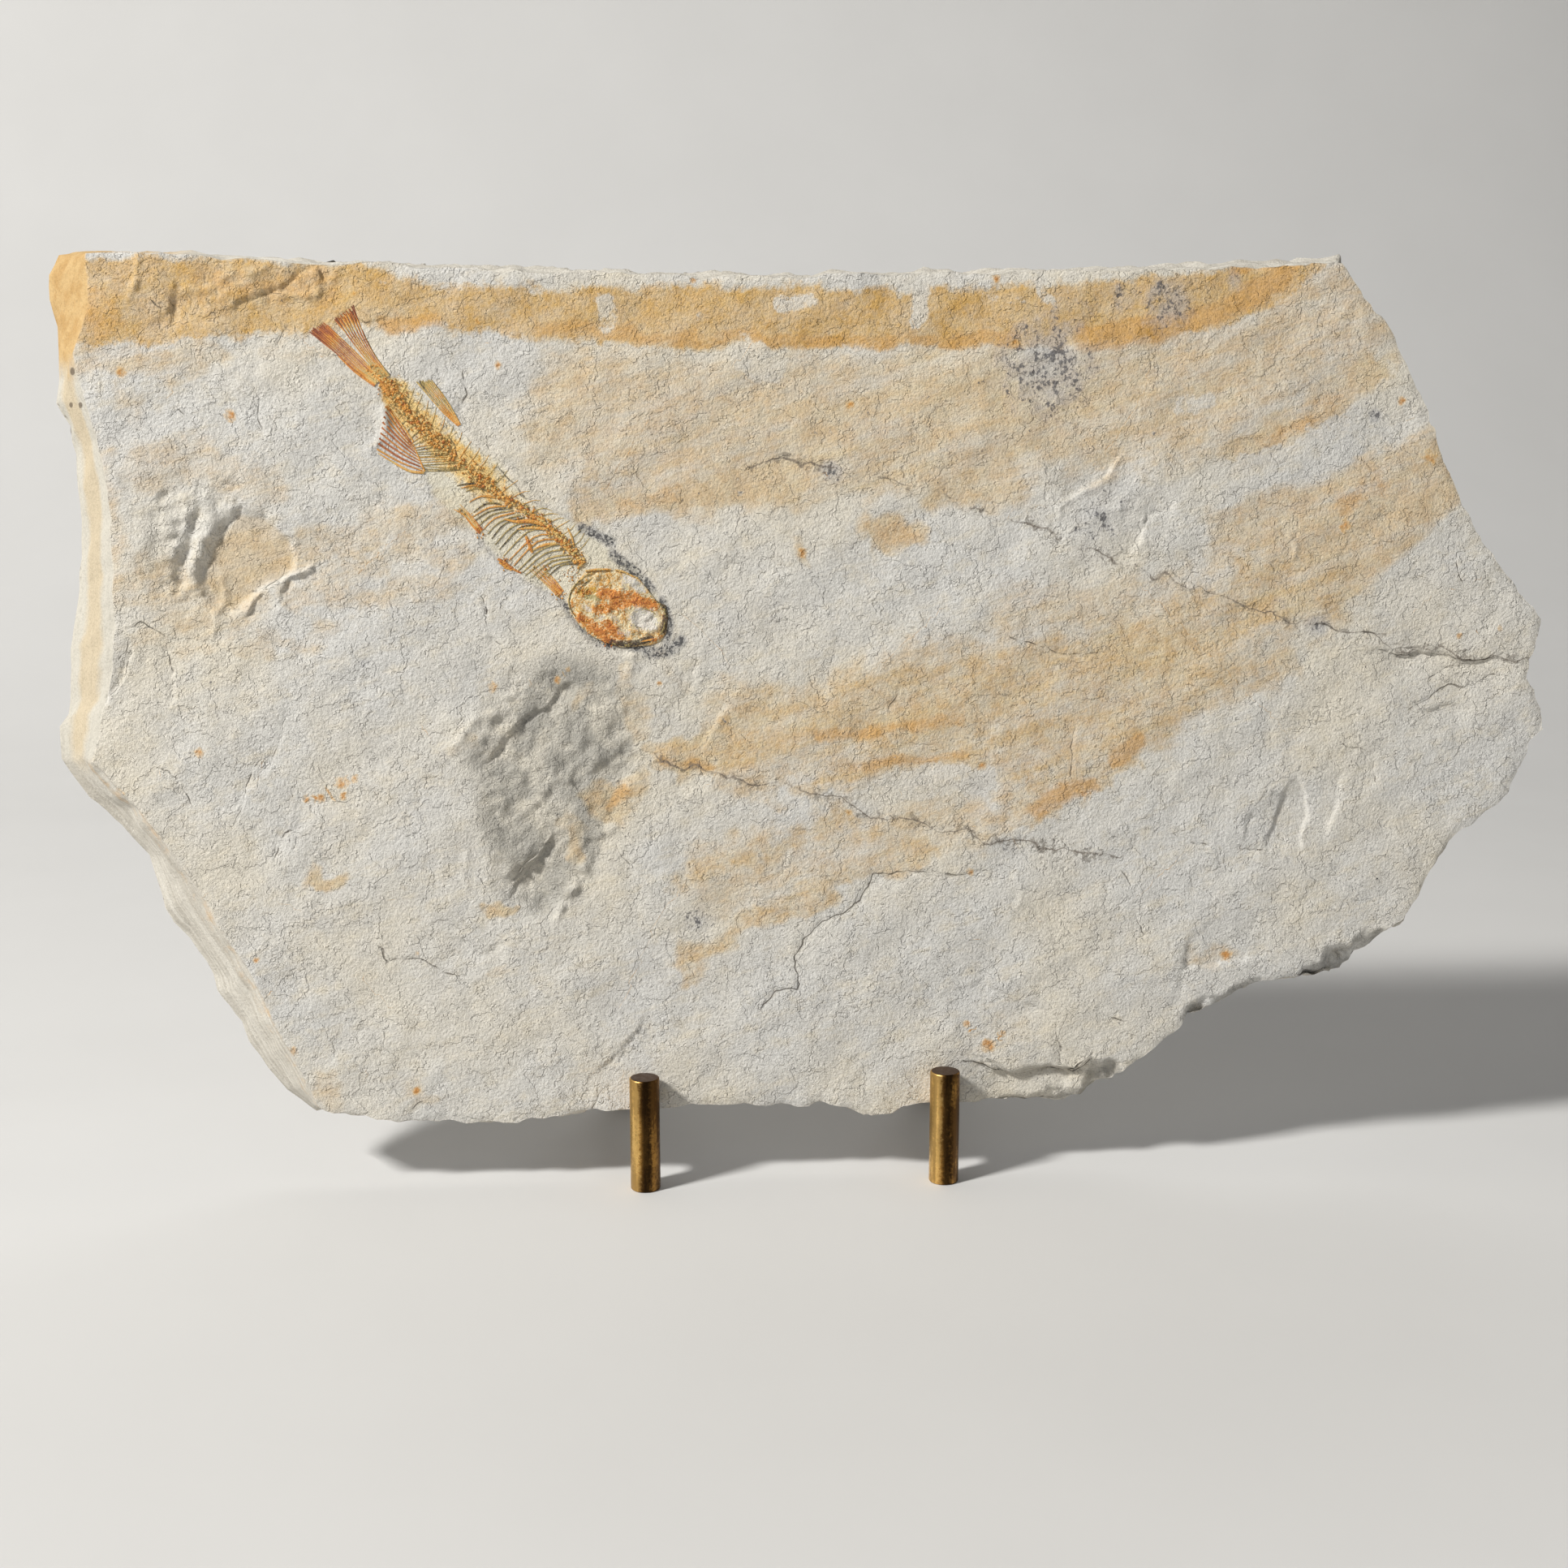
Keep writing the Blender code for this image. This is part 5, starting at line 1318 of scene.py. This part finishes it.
# %% Mix the bone
def bone_scale(finish, tone):
    """Near black, olive, tan, orange, rust and deep rust, as the tone rises."""
    darkest = finish.mix(tone.ramp(0.0, 0.16), paint(62, 50, 42), paint(156, 138, 84))
    return finish.coats(darkest, (
        (tone.ramp(0.14, 0.38), (212, 184, 120)), (tone.ramp(0.36, 0.62), (219, 156, 70)),
        (tone.ramp(0.62, 0.95), (180, 106, 54)), (tone.ramp(0.95, 1.3), (134, 72, 46)),
    ))


TINTS = (  # patch, where it starts, how strong at most, colour
    ("olive", 0.0, 0.8, (158, 148, 98)), ("mustard", 0.0, 0.9, (200, 156, 66)),
    ("rusty", 0.0, 0.95, (212, 136, 52)), ("rusty", 0.5, 0.8, (160, 84, 38)),
    ("white", 0.0, 0.85, (214, 212, 206)), ("black", 0.0, 0.85, (66, 58, 52)),
)
bone = Finish("fossil_bone", 0.6)
bone_cloud = bone.noise(2.2, 4, 0.62)
bone_grain = bone.noise(0.55, 3, 0.68)
tone = bone.attribute("tone")
plate = tone.ramp(-0.3, -0.9)
pits = bone_grain.ramp(0.56, 0.68)
stick_colour = bone_scale(bone, tone + (bone_cloud - 0.5) * 0.7 + (bone_grain - 0.5) * 0.7)
plate_mottle = (bone_cloud + (bone_grain - 0.5) * 1.2).ramp(0.3, 0.7)
plate_colour = bone.mix(plate_mottle, paint(220, 206, 168), paint(206, 154, 78))
for name, start, most, tint in TINTS:
    part = bone.attribute(name) + (bone_cloud - 0.5) * 1.5 + (bone_grain - 0.5) * 1.9 - start
    part = part.ramp(0.3, 0.85) * bone.attribute(name).ramp(0.02, 0.3)
    plate_colour = bone.mix(part * most, plate_colour, paint(*tint))
plate_colour = bone.mix(pits * bone.attribute("rusty").ramp(0.1, 0.6) * 0.6, plate_colour, paint(118, 66, 36))
bone.set("Base Color", bone.mix(plate, stick_colour, plate_colour))
bone.relief(bone_grain * 0.6 + bone_cloud * 0.5)
make_piece("backbone_and_ribs", backbone, bone, "bone", "backbone")
make_piece("skull_plates", skull, bone, "bone", "skull")

# %% Mix the fins
ray = Finish("fossil_fin", 0.6)
ray_cloud = ray.noise(2.2, 3)
ray_grain = ray.noise(0.4, 3, 0.65)
ray_tone = ray.attribute("tone") + (ray_cloud - 0.5) * 0.8 + (ray_grain - 0.5) * 0.9
ray.set("Base Color", bone_scale(ray, ray_tone))
ray.relief(ray_grain * 0.35)
for name, mesh in fins.items():
    make_piece(name + "_rays", mesh, ray, "fin", name)

# %% [markdown]
# ## The brass supports
# The rods are plain round bar, so what makes them real is their roundness, the thin bright chamfer at each
# end and the old brown skin on the brass. The packed rods have flat sides, so each is turned again with many
# sides about the same axis. Its direction is the stand's own: a post is upright, a pin lies level, a rear leg
# leans forward, and each support is toed out a little. Its middle line is halfway between the packed
# rod's extremes on either side, which the holes bored in it don't disturb. A rear leg is cut off flat at the
# table with a plane, as a sawn foot is.

# %% Turn the rods
ROD_SIDES = 96
ROD_CHAMFER = 0.4
LEG_SLOPE = math.radians(24)
TOE_OUT = math.radians(4.5)
ROD_WAYS = {
    "front_post": Vector((0, 0, 1)),
    "rest_pin": Vector((0, 1, 0)),
    "rear_leg": Vector((0, -math.sin(LEG_SLOPE), math.cos(LEG_SLOPE))),
}
room_scale = Matrix.Scale(MM, 4)


def rod_measures(node, way):
    """The start, length and radius of a packed rod that runs along way, in room millimetres."""
    places = np.array([vert.co for vert in bpy.data.objects[node].data.vertices]) / MM
    first = way.orthogonal().normalized()
    second = way.cross(first)
    spans = [(float((places @ axis).min()), float((places @ axis).max())) for axis in (way, first, second)]
    middles = [(low + high) / 2 for low, high in spans[1:]]
    start = way * spans[0][0] + first * middles[0] + second * middles[1]
    return start, spans[0][1] - spans[0][0], (spans[1][1] - spans[1][0]) / 2


def turned_rod(start, way, length, radius):
    mesh = bmesh.new()
    bmesh.ops.create_cone(mesh, cap_ends=True, segments=ROD_SIDES, radius1=radius, radius2=radius,
                          depth=length, matrix=Matrix.Translation((0, 0, length / 2)))
    rims = [edge for edge in mesh.edges if abs(edge.verts[0].co.z - edge.verts[1].co.z) < 0.01]
    bmesh.ops.bevel(mesh, geom=rims, offset=ROD_CHAMFER, segments=2, affect="EDGES", profile=0.5, material=-1)
    aim = Matrix.Translation(start) @ way.to_track_quat("Z", "Y").to_matrix().to_4x4()
    bmesh.ops.transform(mesh, matrix=aim, verts=mesh.verts)
    return mesh


def cut_at_table(mesh):
    cut = bmesh.ops.bisect_plane(mesh, geom=mesh.verts[:] + mesh.edges[:] + mesh.faces[:], dist=0.0001,
                                 plane_co=(0, 0, 0), plane_no=(0, 0, -1), clear_outer=True)
    sole = [item for item in cut["geom_cut"] if isinstance(item, bmesh.types.BMEdge)]
    bmesh.ops.contextual_create(mesh, geom=sole)


print("rods with", ROD_SIDES, "sides and a chamfer of", ROD_CHAMFER, "mm")

# %% [markdown]
# ## Old brass
# Brass that has stood for years goes brown in patches. The finish is one metal with a few colours. Noise that
# is stretched along the bar gives the drawn streaks, and small specks of tarnish sit over them. Two numbers
# on the mesh say where a point lies on its bar: how far to the left, and whether it is on an end. A strip of
# painted highlight in bright gold runs down the left of each bar, and a painted dark reflection makes the
# front almost black.

# %% Mix the brass
brass = Finish("aged_brass", 0.3, 1.0)
skin = brass.noise(9, 3, 0.6, stretch=brass.drawn_out((1, 1, 1.6)))
specks = brass.noise(0.9, 3, 0.7)
die_lines = brass.noise(1.2, 3, 0.6, stretch=brass.drawn_out((1, 1, 16)))
brown = (skin + (specks - 0.5) * 0.6 + (die_lines - 0.5) * 1.1 + 0.08).ramp(0.26, 0.66)
uneven = (die_lines - 0.5) * 0.35 + (specks - 0.5) * 0.7
leftward = brass.attribute("leftward")
# Painted highlight: bright gold down the left of each bar, where the key lamp's reflection would fall.
painted_highlight = (leftward + uneven).ramp(0.2, 0.56)
# Painted dark reflection: the front of each bar is made almost black.
painted_dark_reflection = abs(leftward + 0.1 + uneven * 0.6).ramp(0.46, 0.12)
gold = brass.mix(die_lines.ramp(0.3, 0.7), paint(152, 112, 56), paint(186, 140, 74))
brass.set("Base Color", brass.coats(gold, (
    (brown * 0.85, (66, 43, 22)),
    (painted_highlight * (1 - brown * 0.5), (240, 198, 122)),
    (painted_dark_reflection * 0.86, (32, 22, 13)),
    (brass.attribute("on_end").ramp(0.5, 1.0), (88, 64, 46)),
)))
brass.set("Roughness", 0.24 + brown * 0.18 + (specks - 0.5) * 0.12)
brass.relief((specks + die_lines) * 0.02)
print("brass nodes:", len(brass.tree.nodes))

# %% Place the rods
def mark_rod(mesh, start, way, length, radius):
    """Write on each point how far left of the rod's middle line it lies, and whether it is on an end."""
    leftward_layer = mesh.verts.layers.float.new("leftward")
    end_layer = mesh.verts.layers.float.new("on_end")
    for vert in mesh.verts:
        offset = vert.co - start
        along = offset.dot(way)
        vert[leftward_layer] = -(offset - way * along).x / radius
        vert[end_layer] = float(min(along, length - along) < 0.01)


for node in sorted(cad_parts):
    kind = node.rsplit("_", 1)[0]
    if kind not in ROD_WAYS:
        continue
    side = -1 if node.endswith("left") else 1
    way = Matrix.Rotation(-side * TOE_OUT, 3, "Z") @ ROD_WAYS[kind]
    start, length, radius = rod_measures(node, way)
    rod = turned_rod(start, way, length, radius)
    if kind == "rear_leg":
        cut_at_table(rod)
    mark_rod(rod, start, way, length, radius)
    for face in rod.faces:
        face.smooth = len(face.verts) == 4
    bmesh.ops.transform(rod, matrix=room_to_slab @ room_scale, verts=rod.verts)
    make_piece(node + "_bar", rod, brass, "brass", node)

# %% [markdown]
# ## The slab and its box
# The dressed slab must stay inside the packed box.
